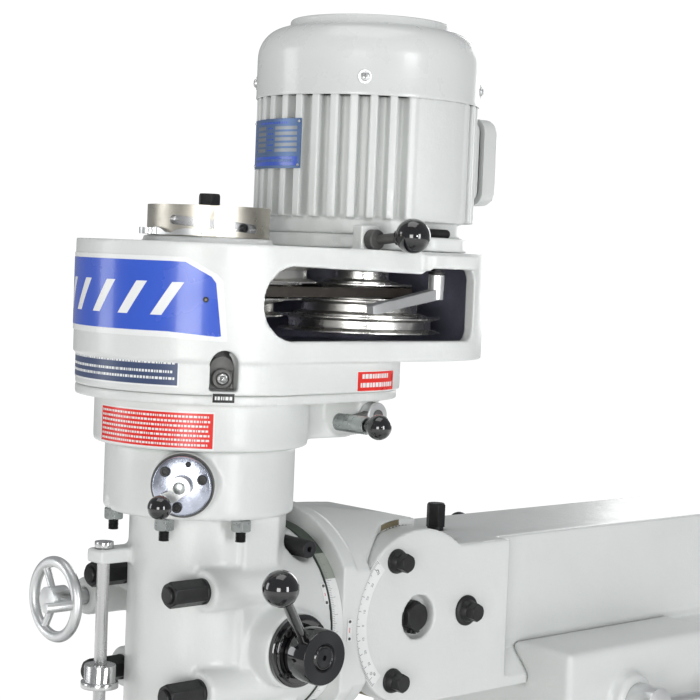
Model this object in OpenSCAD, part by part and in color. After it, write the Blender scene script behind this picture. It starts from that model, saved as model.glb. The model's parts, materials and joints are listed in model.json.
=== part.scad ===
// Turret-type vertical knee milling machine with a step-pulley head.
// Origin: floor level, centre of the base. +X is the operator's right, +Y points to the back, +Z is up.

/* [Base and column] */
// Width of the base casting
base_w = 560; // [520:10:640]
// Length of the base casting, front to back
base_l = 920; // [900:10:1000]
// Height of the base casting
base_h = 110; // [100:5:120]
// Distance between anchor bolts across the base
anchor_x = 480; // [440:10:500]
// Distance between anchor bolts along the base
anchor_y = 840; // [800:10:860]
// Radius of the anchor bolt holes
anchor_r = 9; // [7:0.5:12]
// Half width of the column at its foot
column_half = 200; // [190:5:220]
// Half width of the upper column
column_top_half = 175; // [165:1:180]
// Height of the column's top face
column_top = 1262; // [1255:1:1264]
// Y of the column's front sliding face
way_y = -5; // [-8:1:0]

/* [Knee, saddle and table] */
// Height of the knee's top face
knee_top = 810; // [800:1:820]
// Length of the knee in front of the column face
knee_l = 545; // [530:5:560]
// Width of the knee
knee_w = 300; // [280:10:320]
// Length of the saddle, front to back
saddle_l = 240; // [220:5:245]
// Width of the saddle
saddle_w = 330; // [310:10:350]
// Length of the table, side to side
table_l = 1250; // [1100:10:1370]
// Width of the table
table_w = 254; // [240:1:270]
// Height of the working face of the table
table_top = 980; // [975:1:985]
// Throat width of the tee slots
slot_w = 16; // [14:0.5:18]
// Distance between the tee slots
slot_pitch = 63.5; // [60:0.5:68]
// Radius of the lead screws
screw_r = 12; // [10:0.5:13]
// Radius of the knee elevating screw
lift_r = 20; // [18:0.5:22]
// Y of the elevating screw
lift_y = -200; // [-205:1:-190]

/* [Turret and ram] */
// Radius of the turret flange
turret_r = 190; // [180:1:200]
// Y of the turret axis
turret_y = 195; // [190:1:200]
// Half width of the ram head block
ram_half = 89; // [84:0.5:92]
// Radius of the rounded front of the ram
ram_r = 90.7; // [88:0.1:92]
// Half width of the slot between the ram ears
fork_half = 58; // [50:0.5:60]
// Length of the ram behind the nod axis
ram_l = 780; // [740:5:820]

/* [Head] */
// Height of the head datum, the top face of the belt housing
head_z = 1900; // [1890:1:1920]
// Y of the spindle axis
spindle_y = -295; // [-300:1:-290]
// Distance between the spindle and motor axes
pulley_gap = 203.3; // [202:0.1:205]
// Outer radius of the belt housing
belt_r = 125; // [122:0.5:130]
// Depth of the belt housing below its top face
belt_h = 137.5; // [135:0.5:140]
// Radius of the gear housing
gear_r = 103.2; // [100:0.1:106]
// Radius of the quill housing flange
flange_r = 91.7; // [88:0.1:95]
// Depth of the tilt and nod axes below the head datum
axis_drop = 365.1; // [360:0.1:370]
// Distance from the spindle axis to the nod axis
nod_gap = 220.3; // [218:0.1:222]
// Radius of the tilting flange between head and adapter
tilt_r = 96.8; // [94:0.1:100]
// Radius of the quill
quill_r = 42.86; // [40:0.01:43]
// Straight bore radius of the spindle taper
collet_r = 12.05; // [10:0.05:13]

/* [Motor] */
// Radius of the motor fan cowl
cowl_r = 115.2; // [112:0.1:118]
// Radius over the motor cooling fins
fin_r = 114; // [112:0.5:115]
// Angle between cooling fins
fin_step = 10; // [8:1:12]

/* [Hidden] */

$fn = 96;
eps = 0.05;

paint = [0.85, 0.855, 0.835];
steel = [0.72, 0.72, 0.73];
bright = [0.8, 0.79, 0.76];
black = [0.08, 0.08, 0.08];
alloy = [0.78, 0.79, 0.8];
iron = [0.45, 0.45, 0.44];
red = [0.85, 0.12, 0.08];
blue = [0.1, 0.25, 0.65];

// Heights and places in the machine frame
axis_z = head_z - axis_drop;
nod_y = spindle_y + nod_gap;
motor_y = spindle_y + pulley_gap;
gap = 0.4;
run_fit = 0.05;
ball_r = 17;

// Head heights, measured from the head datum
belt_top = 6.5;
belt_floor = belt_top - belt_h;
motor_floor = -101;
rim_bottom = -140;
gear_bottom = -184.4;
flange_bottom = -249.8;
barrel_bottom = -560;
tilt_face = 93.7;
adapter_face = tilt_face + 0.3;
scale_back = 107.8;
rear_lobe_y = 105;
rear_lobe_r = 115;
gear_lobe_w = 124;
gear_lobe_l = 150;

// Step pulleys, from the top groove to the bottom one
groove_top = -11.5;
groove_pitch = 16.5;
motor_steps = [39, 54, 70, 84.5];
spindle_steps = [106, 92, 75, 60.5];
belt_step = 1;
groove_depth = 10;
belt_w = 8;

// Tilt clamp bolts and the quill feed pinion
tilt_bolt_x = 62;
tilt_bolt_z = 47.5;
pinion_y = 46;
pinion_z = -376;
pinion_r = 11.9;
worm_y = 80;
worm_z = -286;
feed_angle = -46.5;
feed_z = -215;
stop_x = -30;
stop_y = -88;
fine_x = -93;
fine_z = -345;

// Ram section, measured from the nod axis
ram_top = 70;
ram_block_l = 135;
ram_neck = 66;
hood_r = 106;
ram_tail_half = 72;
dovetail_z = -54;
nod_worm_gap = 110.7;
nod_bolt_circle = 70;
nod_pin_r = 15;

// Turret heights
cheek_y0 = 95;
cheek_y1 = 365;
cheek_half = 150;
cheek_top = axis_z - 48;
rack_r = 18;
rack_z = axis_z - ram_r - rack_r - 0.5;

// Knee group
knee_ways = knee_top - 28;
knee_front = way_y - knee_l;
saddle_top = 893;
table_bottom = saddle_top + 0.5;
table_screw_z = 884;
cross_z = 765;
crank_z = 685;
knee_lower = 440;
pedestal_top = 365;
pan_floor = 72;

// ---- General shapes -------------------------------------------------------

module at_head() translate([0, spindle_y, head_z]) children();
module at_motor() translate([0, motor_y, head_z]) children();
module at_nod() translate([0, nod_y, axis_z]) children();
module along_x() rotate([0, 90, 0]) children();
module along_y() rotate([-90, 0, 0]) children();

// A bar of radius r from point p to point q
module rod(p, q, r) {
    v = q - p;
    translate(p)
        rotate([0, acos(v[2] / norm(v)), atan2(v[1], v[0])])
            cylinder(r = r, h = norm(v), $fn = 32);
}

module ball(p, r = ball_r) translate(p) sphere(r = r, $fn = 48);

// A block given by its lowest and highest corners
module block(a, b) translate(a) cube(b - a);

module ring(r_out, r_in, h) difference() {
    cylinder(r = r_out, h = h);
    translate([0, 0, -1]) cylinder(r = r_in, h = h + 2);
}

// A hexagonal prism of width af across its flats
module hex(af, h) cylinder(r = af / sqrt(3), h = h, $fn = 6);

// A flat rectangle with round corners
module round_rect(w, h, r) {
    square([w - 2 * r, h], center = true);
    square([w, h - 2 * r], center = true);
    for (x = [-1, 1], y = [-1, 1])
        translate([x * (w / 2 - r), y * (h / 2 - r)]) circle(r = r);
}

// An upright outline in Y and Z, given width w across X
module side_prism(points, w)
    translate([-w / 2, 0, 0]) rotate([90, 0, 90]) linear_extrude(w) polygon(points);

// An upright outline in X and Z, reaching from y0 to y1
module front_prism(points, y0, y1)
    translate([0, y1, 0]) rotate([90, 0, 0]) linear_extrude(y1 - y0) polygon(points);

// A shell piece of a cylinder between two angles
module curved_plate(r, t, a0, a1, z0, z1)
    translate([0, 0, z0]) rotate([0, 0, a0])
        rotate_extrude(angle = a1 - a0) translate([r, 0]) square([t, z1 - z0]);

// Two circles joined by their outer tangents; the second centre is d along +Y
module tangent_outline(r1, r2, d) {
    c = (r1 - r2) / d;
    s = sqrt(1 - c * c);
    a = r1 - 0.3;
    b = r2 - 0.3;
    circle(r = r1);
    translate([0, d]) circle(r = r2);
    polygon([[a * s, a * c], [b * s, d + b * c], [-b * s, d + b * c], [-a * s, a * c]]);
}

// ---- Base, column and fixed parts ----------------------------------------

module anchor_holes()
    for (x = [-1, 1], y = [-1, 1])
        translate([x * anchor_x / 2, y * anchor_y / 2, 0]) children();

module base() {
    rim = 30;
    foot_h = 34;
    pad = 80;
    color(paint) difference() {
        union() {
            linear_extrude(70) round_rect(base_w, base_l, 40);
            linear_extrude(base_h) round_rect(base_w - rim, base_l - rim, 40);
        }
        // Coolant pan around the pedestal
        translate([0, -base_l / 4 - 6, pan_floor]) linear_extrude(base_h)
            round_rect(base_w - 110, base_l / 2 - 70, 30);
        // Hollow underside
        translate([0, 0, -1]) linear_extrude(46) round_rect(base_w - 200, base_l - 90, 20);
        translate([0, lift_y, 0]) cylinder(r = lift_r + 4, h = base_h);
        anchor_holes() {
            translate([0, 0, -1]) cylinder(r = anchor_r, h = foot_h + 2);
            translate([0, 0, foot_h]) linear_extrude(base_h) round_rect(pad, pad, 12);
        }
    }
}

module dovetail(half, flare, depth, z0, z1, extra = 0)
    translate([0, way_y, z0]) linear_extrude(z1 - z0)
        polygon([[-half - flare - extra, -extra], [half + flare + extra, -extra],
                 [half + extra, depth + 1], [-half - extra, depth + 1]]);

module column() {
    back = 405;
    front = way_y + 30;
    wall = 22;
    color(paint) {
        difference() {
            union() {
                intersection() {
                    front_prism([[-column_half, base_h], [column_half, base_h], [column_half, 230],
                                 [column_top_half, 560], [column_top_half, column_top],
                                 [-column_top_half, column_top], [-column_top_half, 560],
                                 [-column_half, 230]], front, back);
                    side_prism([[front, base_h], [back, base_h], [back, 230], [370, 620],
                                [370, column_top], [front, column_top]], 2 * column_half);
                }
                dovetail(95, 22, 30, 300, 1225);
                translate([0, turret_y, column_top - 40]) cylinder(r = turret_r, h = 40);
            }
            translate([0, turret_y - 5, base_h + wall])
                linear_extrude(column_top - base_h - 2 * wall - 20) round_rect(300, 290, 30);
        }
    }
}

module elevating_nut() color(iron) translate([0, lift_y, pan_floor]) difference() {
    union() {
        cylinder(r = 85, h = 20);
        cylinder(r = 60, h = 60);
        cylinder(r = 45, h = pedestal_top - pan_floor);
    }
    translate([0, 0, -1]) cylinder(r = lift_r + run_fit, h = pedestal_top);
}

module electrical_cabinet() {
    lo = [-column_top_half - 150, 80, 720];
    hi = [-column_top_half, 320, 1080];
    door = 14;
    color(paint) {
        block([lo[0] + door + 2, lo[1], lo[2]], hi);
        block([lo[0], lo[1] + 6, lo[2] + 6], [lo[0] + door, hi[1] - 6, hi[2] - 6]);
        block([lo[0] + door - 1, lo[1] + 20, lo[2] + 20], [lo[0] + door + 3, hi[1] - 20, hi[2] - 20]);
    }
}

// ---- Turret ---------------------------------------------------------------

module ram_section(extra = 0) {
    bottom = -ram_r - extra;
    polygon([[-ram_half - extra, bottom], [ram_half + extra, bottom],
             [ram_half + extra, bottom + 10], [ram_neck + extra, dovetail_z],
             [ram_tail_half + extra, dovetail_z + 10], [ram_tail_half + extra, ram_top + extra],
             [-ram_tail_half - extra, ram_top + extra], [-ram_tail_half - extra, dovetail_z + 10],
             [-ram_neck - extra, dovetail_z], [-ram_half - extra, bottom + 10]]);
}

module ram_extrusion(y0, y1, extra = 0)
    translate([0, y1, axis_z]) rotate([90, 0, 0]) linear_extrude(y1 - y0) ram_section(extra);

module turret() {
    z0 = column_top + 0.5;
    hub_r = 152;
    color(paint) difference() {
        union() {
            translate([0, turret_y, z0]) cylinder(r = turret_r, h = 28);
            translate([0, turret_y, z0]) cylinder(r = hub_r, h = 120);
            block([-cheek_half, cheek_y0, z0 + 70], [cheek_half, cheek_y1, cheek_top]);
            for (y = [150, 310])
                translate([-cheek_half - 14, y, cheek_top - 24]) along_x() cylinder(r = 20, h = 20);
            translate([cheek_half - 4, turret_y, rack_z]) along_x() cylinder(r = 30, h = 18);
        }
        ram_extrusion(cheek_y0 - 1, cheek_y1 + 1, gap);
        // Relief above the ram dovetail
        front_prism([[-ram_tail_half - 4, axis_z + dovetail_z + 6],
                     [ram_tail_half + 4, axis_z + dovetail_z + 6],
                     [ram_tail_half + 4, axis_z + 90], [-ram_tail_half - 4, axis_z + 90]],
                    cheek_y0 - 1, cheek_y1 + 1);
        translate([0, turret_y, z0 - 1]) cylinder(r = 100, h = 90);
        translate([-30, turret_y, rack_z]) along_x() cylinder(r = rack_r + 1.5, h = 60);
        translate([-31, turret_y, rack_z]) along_x()
            cylinder(r = screw_r + run_fit, h = cheek_half + 60);
        translate([-30, turret_y - rack_r - 1.5, rack_z]) cube([60, 2 * rack_r + 3, rack_r + 3]);
    }
}

module turret_bolts() color(black)
    for (a = [20, 160, 200, 340])
        translate([0, turret_y, column_top + 28.5]) rotate([0, 0, a]) translate([171, 0, 0]) {
            cylinder(r = 17, h = 3);
            translate([0, 0, 3]) hex(24, 15);
        }

module ram_lock(y) {
    hub = [-cheek_half - 14.4, y, cheek_top - 24];
    tip = hub + [-30, -30, 105];
    color(black) {
        translate(hub) rotate([0, -90, 0]) cylinder(r = 15, h = 26);
        rod(hub + [-16, 0, 0], tip, 6.5);
        ball(tip, 14);
    }
}

module ram_lock_front() ram_lock(150);
module ram_lock_rear() ram_lock(310);

module ram_crank() {
    hub_x = cheek_half + 14.5;
    arm = 120;
    color(steel) translate([0, turret_y, rack_z]) {
        along_x() cylinder(r = screw_r, h = hub_x + 30);
        translate([-28, 0, 0]) along_x() cylinder(r = rack_r, h = 56);
        translate([hub_x, 0, 0]) along_x() cylinder(r = 21, h = 30);
        rod([hub_x + 15, 0, 0], [hub_x + 35, arm, 0], 8);
        translate([hub_x + 35, arm, 0]) {
            sphere(r = 13, $fn = 48);
            along_x() cylinder(r = 10, h = 70);
        }
    }
}

// ---- Ram, adapter and nodding parts --------------------------------------

module ram() {
    worm_hole = 20.5;
    color(paint) difference() {
        union() {
            ram_extrusion(nod_y + ram_block_l - 1, nod_y + ram_l);
            at_nod() {
                translate([-ram_half, 0, 0]) along_x() cylinder(r = ram_r, h = 2 * ram_half);
                block([-ram_half, 0, -ram_r], [ram_half, ram_block_l, ram_top]);
            }
        }
        at_nod() {
            // Space for the adapter knuckle, open to the front
            translate([-fork_half - gap, 0, 0]) along_x()
                cylinder(r = ram_r + 2, h = 2 * (fork_half + gap));
            block([-fork_half - gap, -ram_r - 10, -ram_r - 1], [fork_half + gap, 0, ram_r + 1]);
            // Space for the hood of the adapter when the head nods back
            intersection() {
                translate([-fork_half - gap, 0, 0]) along_x()
                    cylinder(r = hood_r + 1, h = 2 * (fork_half + gap));
                block([-fork_half - 1, -ram_r, 40], [fork_half + 1, 150, 120]);
            }
            // Pivot pin bore, with a recess on each side
            translate([-ram_half - 1, 0, 0]) along_x()
                cylinder(r = nod_pin_r + run_fit, h = 2 * ram_half + 2);
            for (s = [-1, 1])
                translate([s * ram_half, 0, 0]) rotate([0, -s * 90, 0])
                    translate([0, 0, -1]) cylinder(r = 22.7, h = 15);
            translate([0, nod_worm_gap, -50]) cylinder(r = worm_hole, h = 95);
            translate([0, nod_worm_gap, 0]) cylinder(r = 9.1, h = ram_r);
            // Clamp bolt holes through the ears
            for (a = [0, 120, 240])
                rotate([a, 0, 0]) translate([-ram_half - 1, nod_bolt_circle, 0]) along_x()
                    cylinder(r = 6.6, h = ram_half - fork_half + 2);
            for (a = [0, 120, 240])
                rotate([a, 0, 0]) translate([fork_half - 1, nod_bolt_circle, 0]) along_x()
                    cylinder(r = 6.6, h = ram_half - fork_half + 2);
        }
        // Slot for the pinion rack under the ram
        translate([-30, nod_y + ram_block_l + 20, axis_z - ram_r - 1])
            cube([60, ram_l - ram_block_l - 60, 4]);
    }
}

module nod_fasteners() color(black) at_nod() {
    for (s = [-1, 1]) {
        for (a = [0, 120, 240])
            rotate([a, 0, 0]) translate([s * (ram_half + eps), nod_bolt_circle, 0]) rotate([0, s * 90, 0]) {
                cylinder(r = 16, h = 2.6);
                translate([0, 0, 2.5]) cylinder(r1 = 13, r2 = 10, h = 6);
                hex(17, 18);
                translate([0, 0, -30]) cylinder(r = 6, h = 31);
            }
        translate([s * (ram_half - 13.5), 0, 0]) rotate([0, s * 90, 0]) {
            cylinder(r = 16, h = 6);
            hex(28, 13);
        }
    }
    translate([14 - ram_half, 0, 0]) along_x() cylinder(r = nod_pin_r, h = 2 * ram_half - 28);
}

module nod_scale() color([0.93, 0.93, 0.92]) at_nod()
    translate([ram_half + eps, 0, 0]) rotate([135, 0, 0]) rotate([90, 0, 90])
        rotate_extrude(angle = 92) translate([74, 0]) square([15.5, 0.8]);

module nod_worm() color(black) at_nod() translate([0, nod_worm_gap, 0]) {
    translate([0, 0, -45]) cylinder(r = 19, h = 85);
    cylinder(r = 9, h = ram_top + 3);
    translate([0, 0, ram_top + 3]) hex(18, 26);
}

// Outline of the adapter's upper body, seen from above, in front of the ram ears
module adapter_plan() polygon([[-96, 0], [96, 0], [96, 22], [fork_half - 0.6, 84], [fork_half - 0.6, 134],
                               [0.6 - fork_half, 134], [0.6 - fork_half, 84], [-96, 22]]);

module ram_adapter() {
    knuckle_r = 88;
    groove_in = 68;
    groove_out = 88;
    body_r = 111;
    collar_l = 16;
    color(paint) difference() {
        union() {
            at_head() translate([0, adapter_face, -axis_drop]) along_y() cylinder(r = 89.9, h = 16);
            // Lower body, then the upper body with its hood over the knuckle
            at_head() translate([0, scale_back, -axis_drop]) {
                intersection() {
                    union() {
                        along_y() cylinder(r = body_r, h = 36);
                        along_y() cylinder(r = body_r + 3, h = collar_l);
                    }
                    block([-96, -1, -120], [96, 40, 120]);
                }
                intersection() {
                    along_y() cylinder(r = body_r, h = 140);
                    linear_extrude(120) adapter_plan();
                    side_prism([[-1, 0], [-1, 112], [20, 111], [100, 103],
                                [134, 96], [134, 60], [100, 0]], 200);
                }
            }
            at_nod() translate([0.6 - fork_half, 0, 0]) along_x()
                cylinder(r = knuckle_r, h = 2 * fork_half - 1.2);
        }
        at_nod() {
            // Clearance round the ram ears, and the groove of the nod gear
            for (s = [-1, 1])
                translate([s > 0 ? fork_half - 0.6 : -fork_half - 59.4, 0, 0]) along_x()
                    cylinder(r = ram_r + 1, h = 60);
            translate([-13.2, 0, 0]) along_x() ring(knuckle_r + 4, 84.9, 26.4);
            translate([-fork_half - 1, 0, 0]) along_x()
                cylinder(r = nod_pin_r + run_fit, h = 2 * fork_half + 2);
            // Circular slots for the nod clamp bolts
            for (s = [-1, 1])
                translate([s > 0 ? fork_half - 18 : -fork_half - 1, 0, 0]) along_x()
                    ring(nod_bolt_circle + 8, nod_bolt_circle - 8, 19);
        }
        // Circular slot for the tilt clamp bolts
        at_head() translate([0, adapter_face - 1, -axis_drop]) along_y() ring(groove_out, groove_in, 32);
    }
}

module nod_gear() {
    teeth = 90;
    r = 89.5;
    color([0.5, 0.42, 0.3]) at_nod() translate([-13, 0, 0]) along_x() difference() {
        ring(r, 85, 26);
        for (i = [0 : teeth - 1])
            rotate([0, 0, i * 360 / teeth]) translate([r, 0, -1]) rotate([0, 0, 45])
                cube([1.8, 1.8, 60], center = true);
    }
}

module tilt_scale() color([0.9, 0.9, 0.88]) at_head()
    translate([0, adapter_face, -axis_drop]) along_y() ring(tilt_r, 89.95, scale_back - adapter_face - eps);

// ---- Head castings --------------------------------------------------------

module quill_housing() {
    barrel_r = 66;
    lug_r = 20;
    boss_r = 38;
    neck_z = -302;
    color(paint) at_head() difference() {
        union() {
            translate([0, 0, flange_bottom]) cylinder(r = flange_r, h = gear_bottom - flange_bottom - eps);
            translate([0, 0, barrel_bottom]) cylinder(r = barrel_r, h = flange_bottom - barrel_bottom + 1);
            block([-72, 0, -470], [72, tilt_face - 20, neck_z]);
            translate([0, 0, neck_z - 1]) linear_extrude(flange_bottom - neck_z + 2)
                polygon([[-72, 0], [72, 0], [72, 42], [46, tilt_face - 20],
                         [-46, tilt_face - 20], [-72, 42]]);
            translate([0, 45, -axis_drop]) along_y() cylinder(r = tilt_r, h = tilt_face - 45);
            for (x = [-1, 1], z = [-1, 1])
                translate([x * tilt_bolt_x, -40, z * tilt_bolt_z - axis_drop]) along_y()
                    cylinder(r = lug_r, h = 90);
            translate([40, pinion_y, pinion_z]) along_x() cylinder(r = boss_r, h = 60);
            // Power feed boss
            rotate([0, 0, feed_angle]) translate([60, 0, feed_z]) along_x() cylinder(r = 30.4, h = 46);
            // Fine feed boss
            translate([fine_x, -66, fine_z]) along_y() cylinder(r = 19, h = 100);
            block([fine_x + 4, -20, fine_z - 18], [-40, 34, fine_z + 18]);
            // Lugs of the depth stop screw
            for (z = [-300, -535])
                block([stop_x - 12, stop_y - 12, z], [stop_x + 12, -40, z + 14]);
            // Quill lock boss
            translate([40, -22, -530]) along_x() cylinder(r = 14, h = 34);
        }
        translate([0, 0, barrel_bottom - 1])
            cylinder(r = quill_r + run_fit, h = flange_bottom - barrel_bottom + 36);
        translate([0, 0, barrel_bottom]) cylinder(r = 30, h = 400);
        translate([-60, pinion_y, pinion_z]) along_x() cylinder(r = pinion_r + 1.6, h = 170);
        translate([-23, worm_y, worm_z]) along_x() cylinder(r = 14.3, h = 46);
        translate([-80, worm_y, worm_z]) along_x() cylinder(r = 9 + run_fit, h = 180);
        translate([44, worm_y, worm_z]) along_x() cylinder(r = 12.9, h = 60);
        // Faces for the tilt clamp nuts
        for (x = [-1, 1], z = [-1, 1])
            translate([x * tilt_bolt_x, -90, z * tilt_bolt_z - axis_drop]) along_y()
                cylinder(r = 13.4, h = 50);
        rotate([0, 0, feed_angle]) translate([91, 0, feed_z]) along_x() cylinder(r = 7 + run_fit, h = 20);
        for (x = [-1, 1], z = [-1, 1])
            translate([x * tilt_bolt_x, -41, z * tilt_bolt_z - axis_drop]) along_y()
                cylinder(r = 8.3, h = 140);
        translate([fine_x, -67, fine_z]) along_y() cylinder(r = 8 + run_fit, h = 60);
        translate([stop_x, stop_y, -540]) cylinder(r = 6 + run_fit, h = 300);
        translate([60, -22, -530]) along_x() cylinder(r = 7 + run_fit, h = 30);
    }
}

module gear_outline(shrink = 0) {
    circle(r = gear_r - shrink);
    translate([0, gear_lobe_l / 2 + 3]) round_rect(gear_lobe_w - 2 * shrink, gear_lobe_l - 2 * shrink, 24);
}

module gear_housing() {
    boss = [54, 128, -154];
    color(paint) at_head() difference() {
        union() {
            translate([0, 0, rim_bottom]) linear_extrude(belt_floor - rim_bottom - eps)
                tangent_outline(122, rear_lobe_r - 3, rear_lobe_y);
            translate([0, 0, gear_bottom + 4.4]) linear_extrude(rim_bottom - gear_bottom - 4) gear_outline();
            translate([0, 0, gear_bottom]) cylinder(r = gear_r - 0.4, h = 10);
            // Boss of the range lever
            intersection() {
                translate(boss) along_x() cylinder(r1 = 27, r2 = 17, h = 46);
                block([50, 90, gear_bottom + 4.4], [101, 170, rim_bottom + 4]);
            }
        }
        translate([0, 0, gear_bottom + 12]) linear_extrude(60) gear_outline(14);
        translate([0, 0, gear_bottom - 1]) cylinder(r = 32, h = 40);
        translate([90, boss[1], boss[2]]) along_x() cylinder(r = 7 + run_fit, h = 20);
    }
}

// A long opening with a round front end; its upper edge steps up at the rear
module belt_window() {
    front = 6;
    rear = 250;
    r = 34.5;
    mid = -46.5;
    corner = 14;
    translate([60, 0, 0]) rotate([90, 0, 90]) linear_extrude(90) {
        translate([front, mid]) circle(r = r);
        polygon([[front, mid + r - 0.3], [168, -15.5], [173, -9.5], [rear - corner, -9.5],
                 [rear - corner, mid - r + 0.3], [front, mid - r + 0.3]]);
        translate([rear - corner, -9.5 - corner]) circle(r = corner);
        translate([rear - corner, mid - r + corner]) circle(r = corner);
        translate([rear - corner - 30, mid - r + corner])
            square([30 + corner - 0.3, -9.5 - mid + r - 2 * corner]);
    }
}

module belt_housing() {
    lip = 9;
    sleeve_r = 43.5;
    color(paint) at_head() difference() {
        union() {
            translate([0, 0, motor_floor]) linear_extrude(belt_top - motor_floor)
                tangent_outline(belt_r, belt_r + 3, pulley_gap);
            translate([0, 0, belt_floor]) linear_extrude(motor_floor - belt_floor + 1)
                tangent_outline(122, rear_lobe_r, rear_lobe_y);
            cylinder(r = 62, h = 12);
            cylinder(r = sleeve_r, h = 36);
            translate([0, pulley_gap, -12]) linear_extrude(16) round_rect(275, 76, 14);
            block([86, 109, belt_top - 1], [99.5, 133, 30]);
        }
        translate([0, 0, motor_floor + lip]) linear_extrude(belt_top - motor_floor - 2 * lip)
            tangent_outline(belt_r - lip, belt_r - lip, pulley_gap);
        translate([0, pulley_gap, -20]) cylinder(r = 92, h = 40);
        translate([0, 0, -10]) cylinder(r = 20 + run_fit, h = 60);
        translate([0, 0, belt_floor - 1]) cylinder(r = 50, h = 60);
        belt_window();
        // Grease pocket
        rotate([0, 0, -29.5]) translate([104, 0, 0]) {
            translate([0, 0, -103]) along_x() cylinder(r = 13, h = 30);
            block([0, -13, -127], [30, 13, -103]);
        }
        translate([85, 121, 16]) along_x() cylinder(r = 7 + run_fit, h = 20);
        for (s = [-1, 1])
            translate([s * 110, pulley_gap, -13]) cylinder(r = 6.05, h = 30);
    }
}

module tilt_bolts() color(black) at_head()
    for (x = [-1, 1], z = [-1, 1])
        translate([x * tilt_bolt_x, -40 - eps, z * tilt_bolt_z - axis_drop]) {
            rotate([90, 0, 0]) hex(22, 40);
            along_y() cylinder(r = 8, h = 158);
            translate([0, tilt_face + 62, 0]) along_y() cylinder(r = 9.4, h = 6);
        }

module head_bolts() color(iron) at_head() {
    for (x = [-1, 1])
        for (p = [[80, -12], [40, -71]])
            translate([x * p[0], p[1], flange_bottom - 12 - eps]) {
                hex(17, 12);
                translate([0, 0, -9]) cylinder(r = 5, h = 12);
            }
    for (s = [-1, 1])
        translate([s * 110, pulley_gap, -12.2]) cylinder(r = 6, h = 38);
}

module pinion_cap() color(black) at_head() translate([100 + eps, pinion_y, pinion_z]) along_x() difference() {
    union() {
        cylinder(r = 35, h = 6);
        cylinder(r = 31, h = 10);
        for (a = [45 : 90 : 315])
            rotate([0, 0, a]) translate([29, 0, 0]) cylinder(r = 4, h = 8);
    }
    translate([0, 0, -1]) cylinder(r = 9 + run_fit, h = 20);
}

module grease_fitting() color(iron) at_head() rotate([0, 0, -29.5]) {
    translate([106, 0, -116]) along_x() cylinder(r = 7, h = 12);
    translate([117, 0, -116]) along_x() cylinder(r = 3, h = 7);
    translate([104 + eps, -11, -126]) cube([3, 22, 30]);
}

module head_plates() at_head() {
    t = 0.8;
    color(blue) curved_plate(belt_r + eps, t, -128, -29, -82, -7);
    color([0.1, 0.14, 0.3]) curved_plate(122 + eps, t, -128, -48.4, -125, -103);
    color(red) translate([0, 0, -129.8]) linear_extrude(20) intersection() {
        difference() {
            tangent_outline(122 + t, rear_lobe_r + t, rear_lobe_y);
            tangent_outline(122 + eps, rear_lobe_r + eps, rear_lobe_y);
        }
        translate([80, 96]) square([60, 58]);
    }
    color(red) curved_plate(gear_r + eps, t, -103, -32, -182.6, -147.4);
    color(black) curved_plate(122 + eps, t, -34.4, -24.6, -130.5, -126);
    // Index plate of the tilt scale
    color(steel) translate([0, tilt_face - 8, -axis_drop]) rotate([-90, 0, 0])
        curved_plate(tilt_r + eps, t, -28.5, -16, 0, 6);
}

module feed_cover() color(bright) at_head()
    rotate([0, 0, feed_angle]) translate([106 + eps, 0, feed_z]) along_x() {
        difference() {
            cylinder(r = 27, h = 6);
            translate([0, 0, -1]) cylinder(r = 7 + run_fit, h = 20);
        }
        for (a = [20, 140, 260])
            rotate([0, 0, a]) translate([20, 0, 0]) cylinder(r = 4.2, h = 9);
    }

module stop_screw() color(bright) at_head() translate([stop_x, stop_y, 0]) {
    translate([0, 0, -536]) cylinder(r = 6, h = 255);
    translate([0, 0, -286 + eps]) cylinder(r = 9, h = 6);
}

module v_belt() {
    z = groove_top - groove_pitch * (belt_step + 0.5) - belt_w / 2;
    r1 = spindle_steps[belt_step];
    r2 = motor_steps[belt_step];
    d = groove_depth - 0.6;
    color([0.15, 0.13, 0.12]) at_head() translate([0, 0, z]) linear_extrude(belt_w) difference() {
        tangent_outline(r1, r2, pulley_gap);
        tangent_outline(r1 - d, r2 - d, pulley_gap);
    }
}

// ---- Head moving parts ----------------------------------------------------

module tilt_worm() color(black) at_head() translate([0, worm_y, worm_z]) difference() {
    union() {
        translate([-22, 0, 0]) along_x() cylinder(r = 14, h = 44);
        translate([-50, 0, 0]) along_x() cylinder(r = 9, h = 125);
        translate([47, 0, 0]) along_x() cylinder(r1 = 12.4, r2 = 9, h = 14);
    }
    translate([66, 0, 0]) along_x() hex(8, 30);
}

module cam_ring() {
    z0 = 12.4;
    h = 29;
    r_in = 44;
    r_out = 58.8;
    slot_steps = 22;
    color(bright) at_head() {
        difference() {
            translate([0, 0, z0]) ring(r_out, r_in, h);
            // Helical slot, falling to the right
            for (i = [0 : slot_steps])
                rotate([0, 0, -108 + i * 4.2]) translate([r_in + 5, 0, z0 + 17 - i * 0.36]) along_x()
                    cylinder(r = 4, h = 20, $fn = 24);
        }
        rotate([0, 0, -100]) translate([r_out - 3, -16, z0]) cube([18, 32, 7]);
    }
}

module quill() {
    top = -225;
    bottom = -572;
    color(steel) at_head() difference() {
        translate([0, 0, bottom]) cylinder(r = quill_r, h = top - bottom);
        translate([0, 0, bottom - 1]) cylinder(r = 22 + run_fit, h = top - bottom + 2);
        block([-22.5, pinion_y - 12.5, bottom + 14], [22.5, quill_r + 1, top + 1]);
    }
}

module spindle() {
    nose = -597;
    spline_top = 10;
    color(bright) at_head() difference() {
        union() {
            translate([0, 0, nose]) cylinder(r = 31, h = 22);
            translate([0, 0, nose]) cylinder(r = 22, h = 335);
            translate([0, 0, -263]) cylinder(r = 14, h = spline_top + 263);
        }
        translate([0, 0, nose - 1]) cylinder(r = 6.5, h = 620);
        translate([0, 0, nose - 1]) cylinder(r = collet_r, h = 78);
        translate([0, 0, nose - 1]) cylinder(r1 = 16.2, r2 = collet_r, h = 24);
    }
}

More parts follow.
